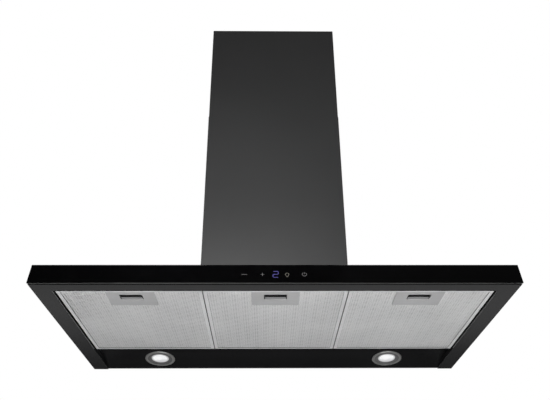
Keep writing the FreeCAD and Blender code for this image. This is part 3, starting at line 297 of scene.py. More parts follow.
def eased(node, radius, material, body, slot):
    """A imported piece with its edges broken."""
    shape = bmesh.new()
    shape.from_mesh(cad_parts[node].data)
    bmesh.ops.remove_doubles(shape, verts=shape.verts, dist=merge_within)
    bmesh.ops.dissolve_limit(shape, angle_limit=flat_turn, verts=shape.verts, edges=shape.edges)
    ease_edges(shape, radius)
    mesh = bpy.data.meshes.new(node + "_piece")
    shape.to_mesh(mesh)
    shape.free()
    made = shown(node + "_piece", mesh, material)
    soften(made)
    settle(made, body, slot, node)
    return made


def soften(made, turn=40.0):
    """Smooth shading that stops at sharp edges and leaves flat faces flat."""
    made.data.shade_smooth()
    made.data.set_sharp_from_angle(angle=radians(turn))
    weights = made.modifiers.new("weights", "WEIGHTED_NORMAL")
    weights.keep_sharp = True


def settle(made, body, slot, *nodes):
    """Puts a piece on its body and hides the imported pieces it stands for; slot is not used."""
    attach(made, body)
    if nodes:
        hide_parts(*nodes)


satin_black = coated("satin_black", shell_colour, 0.42, scale=1100, depth=0.02, spread=0.12,
                     wear=0.25, worn=(0.09, 0.09, 0.09, 1))
eased("canopy_shell", shell_edge, satin_black, "hood", "satin_black")

# ---- Front glass --------------------------------------------------------------------
# The leaning fascia: 4 mm toughened glass, black behind, with ground and polished edges.
# Foam tape and a black seal bead hold it off the steel; faint wiping marks break its gloss.
glass_edge = 0.3 * mm
glass_foot = -525.0 * mm
glass_lean = atan(10.5 / 41.0)
glass_colour = (0.0008, 0.0008, 0.0009, 1)
wiped_colour = (0.0014, 0.0014, 0.0015, 1)
ground_colour = (0.092, 0.096, 0.094, 1)
ground_from, ground_blend = -522.9 * mm, 0.2 * mm
seal_half, seal_low, seal_high, seal_sag = 447.0 * mm, 0.7 * mm, 3.6 * mm, 0.5 * mm
seal_front, seal_back = -520.6 * mm, -516.8 * mm
seal_steps = 8

black_glass, tree, shader = finish_of("black_glass", {"IOR": 1.5, "Specular IOR Level": 0.4})
wiped = group_in(tree, patches, {"Scale": 9.0, "Softness": 0.25}).outputs["Mask"]
fine = group_in(tree, grain, {"Scale": 160.0}).outputs["Speckle"]
marks = maths(tree, "MULTIPLY", wiped, fine)
inward = place(tree, "SeparateXYZ", {"Vector": own_place(tree)}).outputs["Y"]
past_bevel = ranged(tree, inward, ground_from, ground_from + ground_blend)
edge_face = place(tree, "Attribute", attribute_name="ground").outputs["Fac"]
ground = maths(tree, "MULTIPLY", edge_face, past_bevel)
shade = mixed(tree, ground, mixed(tree, marks, glass_colour, wiped_colour), ground_colour)
tree.links.new(shade, shader.inputs["Base Color"])
rough = ranged(tree, marks, 0.0, 1.0, 0.035, 0.11)
frosted = maths(tree, "MULTIPLY", edge_face, 0.4)
tree.links.new(maths(tree, "ADD", rough, frosted), shader.inputs["Roughness"])
glass = eased("front_glass", glass_edge, black_glass, "hood", "black_glass")
face_way = Vector((0, -cos(glass_lean), sin(glass_lean)))
ground_faces = glass.data.attributes.new("ground", "FLOAT", "FACE")
for face in glass.data.polygons:
    facing = face.normal.dot(face_way)
    ground_faces.data[face.index].value = 0.0 if facing > 0.3 or facing < -0.9 else 1.0

foam = coated("foam", (0.02, 0.02, 0.02, 1), 0.95, scale=500, depth=0.15, spread=0.4, wear=0.0)


def dress(material, *nodes):
    """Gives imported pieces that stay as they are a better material."""
    for node in nodes:
        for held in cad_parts[node].material_slots:
            held.material = material


dress(foam, "glass_tape")


def band(n, first=0):
    """Faces between a loop of n points and the loop after it."""
    return [(first + i, first + (i + 1) % n, first + n + (i + 1) % n, first + n + i)
            for i in range(n)]


# The seal bead: a half round below, carried up between the glass and the steel.
seal_section = [(seal_front + (seal_back - seal_front) * (0.5 - 0.5 * cos(pi * i / seal_steps)),
                 seal_low + seal_sag * (1 - sin(pi * i / seal_steps)))
                for i in range(seal_steps + 1)]
seal_section += [(seal_back + mm, seal_high), (seal_front + mm, seal_high)]
n = len(seal_section)
seal_points = [(x, y, z) for x in (-seal_half, seal_half) for y, z in seal_section]
seal_faces = band(n) + [tuple(range(n)), tuple(range(n, 2 * n))]
# Partly painted shade: the seal is a black bead, but its colour is darker than rubber so that it
# also stands for the shadow deep in the gap between glass and steel.
seal_and_gap_shade_black = coated("seal_and_gap_shade_black", (0.004, 0.004, 0.004, 1), 0.9, scale=500, depth=0.1,
                    spread=0.3, wear=0.0, shine=0.1)
seal = piece("glass_seal", seal_points, seal_faces, seal_and_gap_shade_black)
settle(seal, "hood", "foam")

# ---- Touch marks --------------------------------------------------------------------
# Minus, plus, light and on-off signs and the fan speed, lit from behind the glass: thin
# strokes on its face.
mark_middle, mark_proud = 19.5 * mm, 0.03 * mm
key_x = {"minus": -57.5, "plus": -24.5, "digit": -0.5, "light": 20.5, "power": 52.0}


def on_fascia(x, up):
    """A point just proud of the leaning glass: x along it and a distance up its face."""
    return (x, glass_foot + up * sin(glass_lean) - mark_proud * cos(glass_lean),
            up * cos(glass_lean) + mark_proud * sin(glass_lean))


def stroke(points, width):
    """A flat line of even width through points on the glass, with square ends."""
    verts, faces = [], []
    for i, (x, up) in enumerate(points):
        before, after = points[max(i - 1, 0)], points[min(i + 1, len(points) - 1)]
        du, dv = after[0] - before[0], after[1] - before[1]
        length = hypot(du, dv)
        nu, nv = -dv / length * width / 2, du / length * width / 2
        verts += [on_fascia(x + nu, up + nv), on_fascia(x - nu, up - nv)]
        if i:
            faces.append((2 * i - 2, 2 * i - 1, 2 * i + 1, 2 * i))
    return verts, faces


def arc(radius, start, end, steps=24):
    """Points on an arc in millimetres, angles in degrees."""
    turns = [radians(start + (end - start) * i / steps) for i in range(steps + 1)]
    return [(radius * cos(turn), radius * sin(turn)) for turn in turns]


def touch_mark(name, lines, x, width, material):
    """A sign of one or more strokes, in millimetres about its own middle."""
    verts, faces = [], []
    for line in lines:
        v, f = stroke([((px + x) * mm, py * mm + mark_middle) for px, py in line], width * mm)
        faces += [tuple(i + len(verts) for i in face) for face in f]
        verts += v
    settle(piece("mark_" + name, verts, faces, material), "hood", "display")


def lit_mark(name, colour):
    """A sign's glow, a little uneven as light through printed ink is."""
    material, tree, shader = finish_of(name, {"Roughness": 0.3, "Emission Strength": 1.0})
    flicker = group_in(tree, grain, {"Scale": 1500.0}).outputs["Speckle"]
    shade = mixed(tree, flicker, shades(colour, 0.25)[0], colour)
    tree.links.new(shade, shader.inputs["Emission Color"])
    tree.links.new(shade, shader.inputs["Base Color"])
    return material


white_mark = lit_mark("white_mark", (0.065, 0.065, 0.065, 1))
amber_mark = lit_mark("amber_mark", (0.070, 0.068, 0.056, 1))
violet_mark = lit_mark("violet_mark", (0.030, 0.026, 0.115, 1))
touch_mark("minus", [[(-5, 0), (5, 0)]], key_x["minus"], 0.9, white_mark)
touch_mark("plus", [[(-3.6, 0), (3.6, 0)], [(0, -3.6), (0, 3.6)]], key_x["plus"], 0.9, white_mark)
bulb = arc(3.2, -50, 230)
bulb_foot = [bulb[0], (1.6, -4.4), (-1.6, -4.4), bulb[-1]]
touch_mark("light", [bulb, bulb_foot, [(-1.4, -5.6), (1.4, -5.6)]], key_x["light"], 0.8, amber_mark)
touch_mark("power", [arc(4.0, 120, 420), [(0, 0.6), (0, 5.2)]], key_x["power"], 0.9, white_mark)
segments = [[(-4.2, 7), (4.2, 7)], [(4.8, 6.4), (4.8, 0.6)], [(4.2, 0), (-4.2, 0)],
            [(-4.8, -0.6), (-4.8, -6.4)], [(-4.2, -7), (4.2, -7)]]
touch_mark("digit", segments, key_x["digit"], 1.5, violet_mark)

# ---- Underside frame ----------------------------------------------------------------
# A welded U of flat steel strips that closes the canopy's underside round the filters, with
# an upturned lip and the filters' catch ledge, in a darker and smoother black than the tray.
# Its front edge faces take the seal's near-black as painted shade for the joint under the glass.
frame_colour = (0.011, 0.011, 0.0114, 1)
joint_shade_from = -516.25 * mm
dark_satin = coated("dark_satin", frame_colour, 0.18, scale=1000, depth=0.025, spread=0.15,
                    patch_scale=8.0, wear=0.3, worn=(0.11, 0.11, 0.11, 1))
strips = eased("underside_frame", shell_edge, dark_satin, "hood", "dark_satin")
# Painted shade: faces in front of this line get the seal's near-black, because the joint there lies
# in shadow.
strips.data.materials.append(seal_and_gap_shade_black)
for face in strips.data.polygons:
    if face.center.y < joint_shade_from:
        face.material_index = 1

# ---- Light panel --------------------------------------------------------------------
# The folded strip behind the filters, enamelled gloss black. It carries the lamps, and
# its front ledge takes the filters' lugs.
gloss_black = coated("gloss_black", (0.0042, 0.0042, 0.0046, 1), 0.16, scale=420, depth=0.012,
                     spread=0.2, wear=0.2, worn=(0.05, 0.05, 0.05, 1), coat=0.3)
eased("light_panel", shell_edge, gloss_black, "hood", "gloss_black")

# ---- Lamps --------------------------------------------------------------------------
# Two round lamps in the light panel: a turned ring of satin nickel, a frosted lens over
# the light sources, a die-cast can behind and two spring clips that hold the ring.
lamp_x, lamp_back = 278.0 * mm, 51.0 * mm
panel_foot, panel_rear, panel_slope = 2.5 * mm, 1.0 * mm, 0.17273
lamp_up = panel_foot + (lamp_back - panel_rear) * panel_slope
lamp_tilt = radians(9.8)
ring_profile = [(35.2, 0.0), (36.0, -0.4), (36.0, -0.9), (35.6, -1.5), (34.8, -1.8), (30.6, -1.8),
                (29.9, -1.6), (29.2, -1.1), (22.4, -0.1), (21.4, 0.2), (21.0, 0.8), (21.0, 2.0),
                (22.5, 2.0), (22.5, 3.0), (30.0, 3.0), (30.0, 0.0)]
lens_profile = [(20.9, 1.6), (20.9, 0.5), (20.2, 0.25), (18.0, 0.1), (12.0, -0.05), (6.0, -0.12),
                (0.0, -0.15)]
ring_turns = 96
cone_rim, lens_rim = 29.6 * mm, 20.9 * mm
source_light, between_light = (0.90, 0.90, 0.89, 1), (0.66, 0.67, 0.68, 1)
rim_light, rear_light = (0.16, 0.16, 0.165, 1), (0.34, 0.34, 0.345, 1)
fall_from, fall_to = -(lamp_back + 2 * mm), -(lamp_back - 18 * mm)


def ring_faces(rings, n, closed=True):
    """Faces between rows of n points, the last joined to the first; a closed row is a ring."""
    return [(i * n + k, (i + 1) % rings * n + k, (i + 1) % rings * n + (k + 1) % n,
             i * n + (k + 1) % n) for i in range(rings) for k in range(n if closed else n - 1)]


def turned(name, profile, side, material, closed):
    """A lathe-turned piece about the lamp's own axis, set into the sloping panel."""
    tilt = Matrix.Rotation(-lamp_tilt, 4, "X")
    at = Vector((side * lamp_x, -lamp_back, lamp_up))
    points = []
    for i in range(ring_turns):
        angle = 2 * pi * i / ring_turns
        for radius, height in profile:
            here = Vector((radius * cos(angle), radius * sin(angle), height)) * mm
            points.append(at + tilt @ here)
    made = piece(name, points, ring_faces(ring_turns, len(profile), closed), material)
    shape = bmesh.new()
    shape.from_mesh(made.data)
    bmesh.ops.remove_doubles(shape, verts=shape.verts, dist=merge_within)
    bmesh.ops.recalc_face_normals(shape, faces=shape.faces)
    shape.to_mesh(made.data)
    shape.free()
    soften(made)
    return made


# Drawn lines: fine parallel scratches from brushing, drawing or turning.
brushed, ins, outs = effect("brushed_lines", [("Stretch", "Vector", (1.0, 1.0, 1.0)),
                                              ("Scale", "Float", 400.0)],
                            [("Height", "Float"), ("Streak", "Float")])
drawn = place(brushed, "VectorMath", {0: own_place(brushed), 1: ins.outputs["Stretch"]},
              operation="MULTIPLY").outputs[0]
lines = place(brushed, "TexNoise", {"Vector": drawn, "Scale": ins.outputs["Scale"], "Detail": 3.0,
                                    "Roughness": 0.7})
brushed.links.new(lines.outputs["Fac"], outs.inputs["Height"])
brushed.links.new(ranged(brushed, lines.outputs["Fac"], 0.3, 0.7), outs.inputs["Streak"])


def bare_metal(name, colour, roughness, stretch=(0.02, 1.0, 1.0), scale=700.0, spread=0.12,
               wear=0.5, metal=1.0, gap_shade=0.0):
    """Bare or plated metal: drawn lines, soft patches, bright rubbed edges and painted shade on gap
    faces.
    """
    material, tree, shader = finish_of(name, {"Metallic": metal})
    line = group_in(tree, brushed, {"Stretch": stretch, "Scale": scale})
    patch = group_in(tree, patches, {"Scale": 9.0}).outputs["Mask"]
    share = maths(tree, "MULTIPLY", maths(tree, "ADD", line.outputs["Streak"], patch), 0.5)
    drawn_over = mixed(tree, share, *shades(colour, spread))
    shade = mixed(tree, rubbed_edges(tree, wear), drawn_over, shades(colour, 0.5)[1])
    # Painted shade: faces marked as in a gap are darkened, standing for the shadow in the joints
    # and along the flange's inner edge.
    if gap_shade:
        painted_gap_shade = place(tree, "Attribute", attribute_name="gap").outputs["Fac"]
        shade = mixed(tree, painted_gap_shade, shade, shades(colour, gap_shade)[0])
    tree.links.new(shade, shader.inputs["Base Color"])
    rough = ranged(tree, share, 0.0, 1.0, roughness * 0.85, min(1.0, roughness * 1.15))
    tree.links.new(rough, shader.inputs["Roughness"])
    bumped(tree, shader, line.outputs["Height"], 0.4, 0.01)
    return material


bezel_metal = bare_metal("bezel_metal", (0.40, 0.40, 0.39, 1), 0.36, metal=0.7, stretch=(1, 1, 1),
                         scale=900.0)
cone_black = coated("cone_black", (0.100, 0.100, 0.100, 1), 0.5, scale=900, depth=0.02, spread=0.2,
                    wear=0.0)
lamp_lens, tree, shader = finish_of("lamp_lens", {"Roughness": 0.35, "Emission Strength": 1.0,
                                                  "Base Color": (0.25, 0.25, 0.25, 1)})
frost = group_in(tree, grain, {"Scale": 260.0})
where = own_place(tree)
sources = place(tree, "TexVoronoi", {"Vector": where, "Scale": 85.0}).outputs["Distance"]
near_source = ranged(tree, sources, 0.15, 0.75)
spots = mixed(tree, near_source, source_light, between_light)
off_centre = place(tree, "Attribute", attribute_name="radius").outputs["Fac"]
rim_fall = ranged(tree, off_centre, 0.72, 1.0)
glow = mixed(tree, rim_fall, spots, rim_light)
depth_of = place(tree, "SeparateXYZ", {"Vector": where}).outputs["Y"]
rear_fall = ranged(tree, depth_of, fall_from, fall_to)
glow = mixed(tree, rear_fall, glow, rear_light)
tree.links.new(glow, shader.inputs["Emission Color"])
bumped(tree, shader, frost.outputs["Height"], 0.3, 0.03)
for side, name in ((-1, "left"), (1, "right")):
    ring = turned(f"lamp_{name}_ring", ring_profile, side, bezel_metal, True)
    ring.data.materials.append(cone_black)
    middle = Vector((side * lamp_x, -lamp_back, lamp_up))
    for face in ring.data.polygons:
        if (face.center - middle).length < cone_rim:
            face.material_index = 1
    settle(ring, "hood", "bezel", f"lamp_{name}_bezel")
    lens = turned(f"lamp_{name}_glass", lens_profile, side, lamp_lens, False)
    radii = lens.data.attributes.new("radius", "FLOAT", "POINT")
    for vertex in lens.data.vertices:
        radii.data[vertex.index].value = min(1.0, (vertex.co - middle).length / lens_rim)
    settle(lens, "hood", "lamp_lens", f"lamp_{name}_lens")
lamp_can = coated("lamp_can", (0.42, 0.42, 0.43, 1), 0.55, scale=700, depth=0.04, metal=0.9,
                  wear=0.4)
spring_steel = bare_metal("spring_steel", (0.52, 0.52, 0.53, 1), 0.32)
dress(lamp_can, "lamp_housings")
dress(spring_steel, "lamp_clips")

# ---- Grease filters -----------------------------------------------------------------
# Three alike: a channel rolled from 0.8 mm aluminium and mitred at the corners round a
# dense pad with layers of expanded mesh. Two lugs behind rest on the light panel's ledge.
filter_flange = 8.0 * mm
filter_sheet = 0.8 * mm
channel_bend = 1.2 * mm
mesh_long, mesh_short = 9.2 * mm, 5.2 * mm
tile_near, tile_far = 0.14, 0.36
lean_across, lean_along = 0.45, 0.25
mesh_open, coarse_open, coarser_by = 0.62, 0.7, 1.3
mesh_recess, layer_rise, coarse_rise = 1.5 * mm, 0.5 * mm, 0.6 * mm
coarse_up, core_up, core_down = 1.0 * mm, 1.9 * mm, 1.0 * mm
cup_half, cup_depth = 44.3 * mm, 70.3 * mm
lug_half = 12.0 * mm
tongue_half, tongue_low, tongue_high = 19.4 * mm, 1.5 * mm, 3.3 * mm
filter_edge = 0.3 * mm
wall_tilt, lip_tilt = 0.8, 0.95


def bent(points, bend, steps=5):
    """A folded line with round bends: each point with the unit normal on its left."""
    line = []
    for i, point in enumerate(points):
        here = Vector(point)
        if i in (0, len(points) - 1):
            other = Vector(points[1] if i == 0 else points[-2])
            run = (other - here) if i == 0 else (here - other)
            run.normalize()
            line.append((here, Vector((-run.y, run.x))))
            continue
        into = (here - Vector(points[i - 1])).normalized()
        out = (Vector(points[i + 1]) - here).normalized()
        turn = into.angle_signed(out)
        side = -1 if turn > 0 else 1
        back = bend * abs(sin(turn / 2) / cos(turn / 2))
        start = here - into * back
        left = Vector((-into.y, into.x))
        centre = start + left * bend * side
        for k in range(steps + 1):
            swing = Matrix.Rotation(-turn * k / steps, 2)
            line.append((centre + swing @ (start - centre), swing @ left))
    return line


def closed_section(points, thickness, bend):
    """The outline of a folded sheet: its line and the same line moved to the left."""
    line = bent(points, bend)
    return [p for p, n in line] + [p + n * thickness for p, n in reversed(line)]


def rolled_frame(name, x0, x1, y0, y1, z0, z1, material):
    """The channel swept round a rectangle with mitred corners."""
    channel = [(filter_flange, z0), (0.0, z0), (0.0, z1), (filter_flange, z1)]
    section = closed_section(channel, -filter_sheet, channel_bend)
    corners = [(x0, y0, 1, 1), (x1, y0, -1, 1), (x1, y1, -1, -1), (x0, y1, 1, -1)]
    points = [(cx + inward * sx, cy + inward * sy, z)
              for cx, cy, sx, sy in corners for inward, z in section]
    return piece(name, points, ring_faces(4, len(section)), material)


def expanded_metal(x0, x1, y0, y1, low, rise, long, short, share, notch):
    """Six-sided tiles edge to edge, each a slanting strand round its hole."""
    points, faces = [], []
    near, far, half = long * tile_near, long * tile_far, short / 2
    corners = ((-far, 0.0), (-near, -half), (near, -half), (far, 0.0), (near, half), (-near, half))
    rows = int((y1 - y0) / half) - 1
    columns = int((x1 - x0 - 2 * far) / long) + 1
    side_gap = (x1 - x0 - (columns - 1) * long) / 2
    front_gap = (y1 - y0 - (rows - 1) * half) / 2
    for row in range(rows):
        shift = long / 2 if row % 2 else 0.0
        cy = y0 + front_gap + row * half
        for column in range(columns - (1 if row % 2 else 0)):
            cx = x0 + side_gap + shift + column * long
            if notch[0] - near < cx < notch[1] + near and cy < notch[2] + half * 0.2:
                continue
            first = len(points)
            for px, py in corners:
                points.append((cx + px, cy + py, low))
                slant = rise * (1 - lean_across * py / half + lean_along * px / far)
                points.append((cx + px * share, cy + py * share, low + slant))
            for i in range(6):
                a, b = first + 2 * i, first + 2 * ((i + 1) % 6)
                faces.append((a, a + 1, b + 1, b))
    return points, faces


def mesh_pad(name, x0, x1, y0, y1, z0, z1, material):
    """Fine mesh below, coarse mesh above it and on top, round a dense core."""
    middle = (x0 + x1) / 2
    notch = (middle - cup_half, middle + cup_half, y0 - filter_sheet + cup_depth)
    fine = (mesh_long, mesh_short, mesh_open)
    coarse = (mesh_long * coarser_by, mesh_short * coarser_by, coarse_open)
    points, faces = [], []
    for low, rise, size in ((z0 + mesh_recess, layer_rise, fine),
                            (z0 + mesh_recess + coarse_up, coarse_rise, coarse),
                            (z1 - mesh_recess, -layer_rise, coarse)):
        p, f = expanded_metal(x0, x1, y0, y1, low, rise, *size, notch)
        faces += [tuple(i + len(points) for i in face) for face in f]
        points += p
    outline = [(x0, y0), (notch[0], y0), (notch[0], notch[2]), (notch[1], notch[2]),
               (notch[1], y0), (x1, y0), (x1, y1), (x0, y1)]
    core = (z0 + mesh_recess + core_up, z1 - mesh_recess - core_down)
    first, n = len(points), len(outline)
    points += [(x, y, z) for z in core for x, y in outline]
    faces += [tuple(first + i for i in reversed(range(n))), tuple(first + n + i for i in range(n))]
    faces += band(n, first)
    made = piece(name, points, faces, material)
    made.data.materials.append(core_metal)
    for face in made.data.polygons[-(n + 2):]:
        face.material_index = 1
    return made


def joined(name, parts, material):
    """Several small meshes as one piece."""
    shape = bmesh.new()
    for points, faces in parts:
        verts = [shape.verts.new(p) for p in points]
        for face in faces:
            shape.faces.new([verts[i] for i in face])
    bmesh.ops.recalc_face_normals(shape, faces=shape.faces)
    mesh = bpy.data.meshes.new(name)
    shape.to_mesh(mesh)
    shape.free()
    return shown(name, mesh, material)


def block(x0, x1, y0, y1, z0, z1):
    """The points and faces of a small box, for cutting or for joining with others."""
    points = [(x, y, z) for z in (z0, z1) for x, y in ((x0, y0), (x1, y0), (x1, y1), (x0, y1))]
    return points, [(3, 2, 1, 0), (4, 5, 6, 7)] + band(4)


def break_edges(made, radius):
    """Breaks the sharp edges of a drawn piece."""
    shape = bmesh.new()
    shape.from_mesh(made.data)
    ease_edges(shape, radius)
    shape.to_mesh(made.data)
    shape.free()
    soften(made)


def cut_through(made, cutters):
    """Takes the cutters' space out of a piece, for good."""
    tool = joined(made.name + "_cutter", cutters, None)
    cut = made.modifiers.new("cut", "BOOLEAN")
    cut.object, cut.operation, cut.solver = tool, "DIFFERENCE", "EXACT"
    view = bpy.context.evaluated_depsgraph_get()
    mesh = bpy.data.meshes.new_from_object(made.evaluated_get(view))
    made.modifiers.remove(cut)
    made.data = mesh
    bpy.data.objects.remove(tool)


def in_gap(face, x0, x1, y0, y1):
    """Whether a face of the channel looks into a joint or at the pad, where little light falls."""
    middle, tilt = face.center, abs(face.normal.z)
    inward = min(middle.x - x0, x1 - middle.x, middle.y - y0, y1 - middle.y)
    return tilt < wall_tilt and inward < mm or tilt < lip_tilt and inward > filter_flange - mm


# The channel's joint faces and flange inner edges take painted shade, darkened to 7 per cent of the
# metal's colour.
filter_aluminium = bare_metal("filter_aluminium", (0.78, 0.78, 0.785, 1), 0.46, metal=0.35,
                              scale=500.0, gap_shade=0.93)
filter_mesh_metal = bare_metal("filter_mesh_metal", (0.77, 0.77, 0.77, 1), 0.5, metal=0.35,
                               stretch=(1, 1, 1), scale=260.0, spread=0.08, wear=0.0)
core_metal = bare_metal("core_metal", (0.55, 0.55, 0.55, 1), 0.6, metal=0.3, stretch=(1, 1, 1),
                        scale=300.0, spread=0.3, wear=0.0)
for name in ("left", "middle", "right"):
    (x0, y0, z0), (x1, y1, z1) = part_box(f"filter_{name}_frame")
    (mx0, my0, _), (mx1, my1, mz1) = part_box(f"filter_{name}_mesh")
    rear, top = my1 + filter_sheet, mz1 + filter_sheet
    rim = rolled_frame(f"filter_{name}_channel", x0, x1, y0, rear, z0, top, filter_aluminium)
    middle = (x0 + x1) / 2
    cut_through(rim, [block(middle - tongue_half, middle + tongue_half, y0 - mm, y0 + 2 * mm,
                            z0 + tongue_low, z0 + tongue_high)])
    break_edges(rim, filter_edge)
    shaded_gap_faces = rim.data.attributes.new("gap", "FLOAT", "FACE")
    for face in rim.data.polygons:
        shaded_gap_faces.data[face.index].value = float(in_gap(face, x0, x1, y0, rear))
    lug_x = (x0 + (x1 - x0) / 4, x0 + (x1 - x0) * 3 / 4)
    lugs = joined(f"filter_{name}_lugs",
                  [block(x - lug_half, x + lug_half, rear - filter_sheet, y1, z1 - filter_sheet, z1)
                   for x in lug_x], filter_aluminium)
    break_edges(lugs, filter_edge)
    pad = mesh_pad(f"filter_{name}_pad", mx0, mx1, my0, my1, z0, top, filter_mesh_metal)
    settle(rim, f"filter_{name}", "aluminium", f"filter_{name}_frame")
    settle(lugs, f"filter_{name}", "aluminium")
    settle(pad, f"filter_{name}", "mesh", f"filter_{name}_mesh")

# ---- Filter latches -----------------------------------------------------------------
# In each filter's front a pressed aluminium plate has a finger slot with round ends and a
# rolled rim, held by two rivets. Behind it a slide with a finger tab runs against a spring.
plate_sheet = 0.8 * mm
slot_half, slot_front, slot_rear = 22.0 * mm, -458.6 * mm, -434.7 * mm
slot_round, plate_round = 3.2 * mm, 3.0 * mm
plate_lap, rim_roll = 1.8 * mm, 0.8 * mm
rim_steps = ((rim_roll, 0.0), (rim_roll * 0.5, -0.25 * mm), (0.25 * mm, -0.1 * mm),
             (0.0, 0.25 * mm))
rivet_place, rivet_radius, rivet_drop = 32.0 * mm, 2.6 * mm, 0.45 * mm
rivet_steps, rivet_sides = ((1.0, 0.0), (0.96, 0.45), (0.75, 0.8), (0.4, 0.97)), 20
tab_under, tab_rear = 5.75 * mm, -439.45 * mm
latch_travel, latch_edge = 4.5 * mm, 0.4 * mm
latch_metal = bare_metal("latch_metal", (0.34, 0.34, 0.35, 1), 0.40, metal=0.4, scale=650.0)
# The slide's near-black coat is painted shade: seen through the slot's front, it stands for the
# shadow in the finger pocket.
slide_shade_black = coated("slide_shade_black", (0.006, 0.006, 0.0065, 1), 0.6, scale=700, depth=0.03,
                     spread=0.2, shine=0.15, worn=(0.05, 0.05, 0.05, 1))
plate_metal = bare_metal("plate_metal", (0.465, 0.465, 0.47, 1), 0.5, metal=0.3, scale=500.0)


def rounded(x0, x1, y0, y1, radius, steps=6):
    """Points round a rectangle with round corners, from its front left corner."""
    points = []
    for cx, cy, start in ((x0 + radius, y0 + radius, 180), (x1 - radius, y0 + radius, 270),
                          (x1 - radius, y1 - radius, 0), (x0 + radius, y1 - radius, 90)):
        for i in range(steps + 1):
            angle = radians(start + 90 * i / steps)
            points.append((cx + radius * cos(angle), cy + radius * sin(angle)))
    return points


def slotted_plate(outer, rings, low, thick):
    """A plate between an outer outline and a rolled slot, whose rings of points turn up."""
    loops = [[(x, y, low) for x, y in outer]] + rings
    loops += [[(x, y, z + thick) for x, y, z in ring] for ring in reversed(rings)]
    loops += [[(x, y, low + thick) for x, y in outer]]
    return [p for loop in loops for p in loop], ring_faces(len(loops), len(outer))


def rivet(x, y, z):
    """A low domed head that hangs below the plate."""
    n = rivet_sides
    points, faces = [], []
    for share, drop in rivet_steps:
        radius = rivet_radius * share
        points += [(x + radius * cos(2 * pi * i / n), y + radius * sin(2 * pi * i / n),
                    z - rivet_drop * drop) for i in range(n)]
    points.append((x, y, z - rivet_drop))
    last = (len(rivet_steps) - 1) * n
    for first in range(0, last, n):
        faces += band(n, first)
    faces += [(last + i, last + (i + 1) % n, len(points) - 1) for i in range(n)]
    return points, faces


def split_across(made, y):
    """Cuts a piece's faces along a line across it, without parting it."""
    shape = bmesh.new()
    shape.from_mesh(made.data)
    bmesh.ops.bisect_plane(shape, geom=shape.verts[:] + shape.edges[:] + shape.faces[:], dist=1e-6,
                           plane_co=(0, y, 0), plane_no=(0, 1, 0))
    shape.to_mesh(made.data)
    shape.free()


def as_packed(node, material):
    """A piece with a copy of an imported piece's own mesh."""
    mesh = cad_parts[node].data.copy()
    mesh.materials.clear()
    return shown(node + "_piece", mesh, material)


for name in ("left", "middle", "right"):
    (x0, y0, z0), (x1, y1, z1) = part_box(f"filter_{name}_latch_cup")
    middle = (x0 + x1) / 2
    lap = y0 + filter_flange - filter_sheet
    rings = []
    for back, rise in rim_steps:
        ring = rounded(middle - slot_half - back, middle + slot_half + back, slot_front - back,
                       slot_rear + back, slot_round + back)
        rings.append([(x, y, z0 + rise) for x, y in ring])
    outer = rounded(x0 - plate_lap, x1 + plate_lap, lap, y1 + plate_lap, plate_round)
    walls = [block(x0, x1, y1 - plate_sheet, y1, z0 + plate_sheet, z1),
             block(x0, x0 + plate_sheet, y0, y1, z0 + plate_sheet, z1),
             block(x1 - plate_sheet, x1, y0, y1, z0 + plate_sheet, z1)]
    rivets = [rivet(middle + side * rivet_place, (slot_front + slot_rear) / 2, z0)
              for side in (-1, 1)]
    sheet = slotted_plate(outer, rings, z0, plate_sheet)
    plate = joined(f"filter_{name}_plate", [sheet] + walls + rivets, plate_metal)
    soften(plate, turn=50.0)
    settle(plate, f"filter_{name}", "aluminium", f"filter_{name}_latch_cup")
    latch = eased(f"filter_{name}_latch", latch_edge, slide_shade_black, f"latch_{name}", "latch")
    split_across(latch, tab_rear)
    # Only the tab's underside and the slide's rear underside show bare metal; the rest keeps the
    # near-black painted shade.
    latch.data.materials.append(latch_metal)
    for face in latch.data.polygons:
        if face.normal.z < -0.5 and (face.center.z < tab_under or face.center.y > tab_rear):
            face.material_index = 1
    spring = as_packed(f"filter_{name}_spring", spring_steel)
    settle(spring, f"filter_{name}", "steel", f"filter_{name}_spring")
    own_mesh(spring)

# ---- Touch control ------------------------------------------------------------------
# Behind the glass a black moulded tray holds the touch board and the digit's display,
# and a flat cable runs back under the roof to the control box.
black_plastic = coated("black_plastic", (0.022, 0.022, 0.023, 1), 0.5, scale=650, depth=0.05,
                       spread=0.2, worn=(0.06, 0.06, 0.06, 1))
circuit_board, tree, shader = finish_of("circuit_board", {"Roughness": 0.4, "Coat Weight": 0.2})
tracks = place(tree, "TexVoronoi", {"Vector": own_place(tree), "Scale": 220.0},
               distance="MANHATTAN").outputs["Distance"]
lines = ranged(tree, maths(tree, "PINGPONG", tracks, 9.0), 0.30, 0.36)
shade = mixed(tree, lines, (0.012, 0.085, 0.030, 1), (0.035, 0.20, 0.075, 1))
tree.links.new(shade, shader.inputs["Base Color"])
display_face = coated("display_face", (0.03, 0.03, 0.035, 1), 0.12, scale=400, depth=0.01,
                      spread=0.15)
sleeve = coated("sleeve", (0.32, 0.32, 0.33, 1), 0.6, scale=500, depth=0.04, spread=0.12)
dress(black_plastic, "control_housing")
dress(circuit_board, "touch_board", "lamp_led_boards", "main_board")
dress(display_face, "display_module")
dress(sleeve, "touch_cable", "lamp_leads")

# ---- Chimney covers -----------------------------------------------------------------
# Two telescopic covers of 0.5 mm sheet in the canopy's satin coat, folded with small
# round bends. The upper one slides inside the lower one, whose edge shows as a fine line.
cover_sheet = 0.5 * mm
cover_bend = 1.4 * mm
cover_return = 15.0 * mm
cover_foot = 12.0 * mm
cover_black = coated("cover_black", (0.045, 0.045, 0.0455, 1), 0.46, scale=1300, depth=0.02,
                     spread=0.10, patch_scale=4.0, wear=0.2, worn=(0.10, 0.10, 0.10, 1))


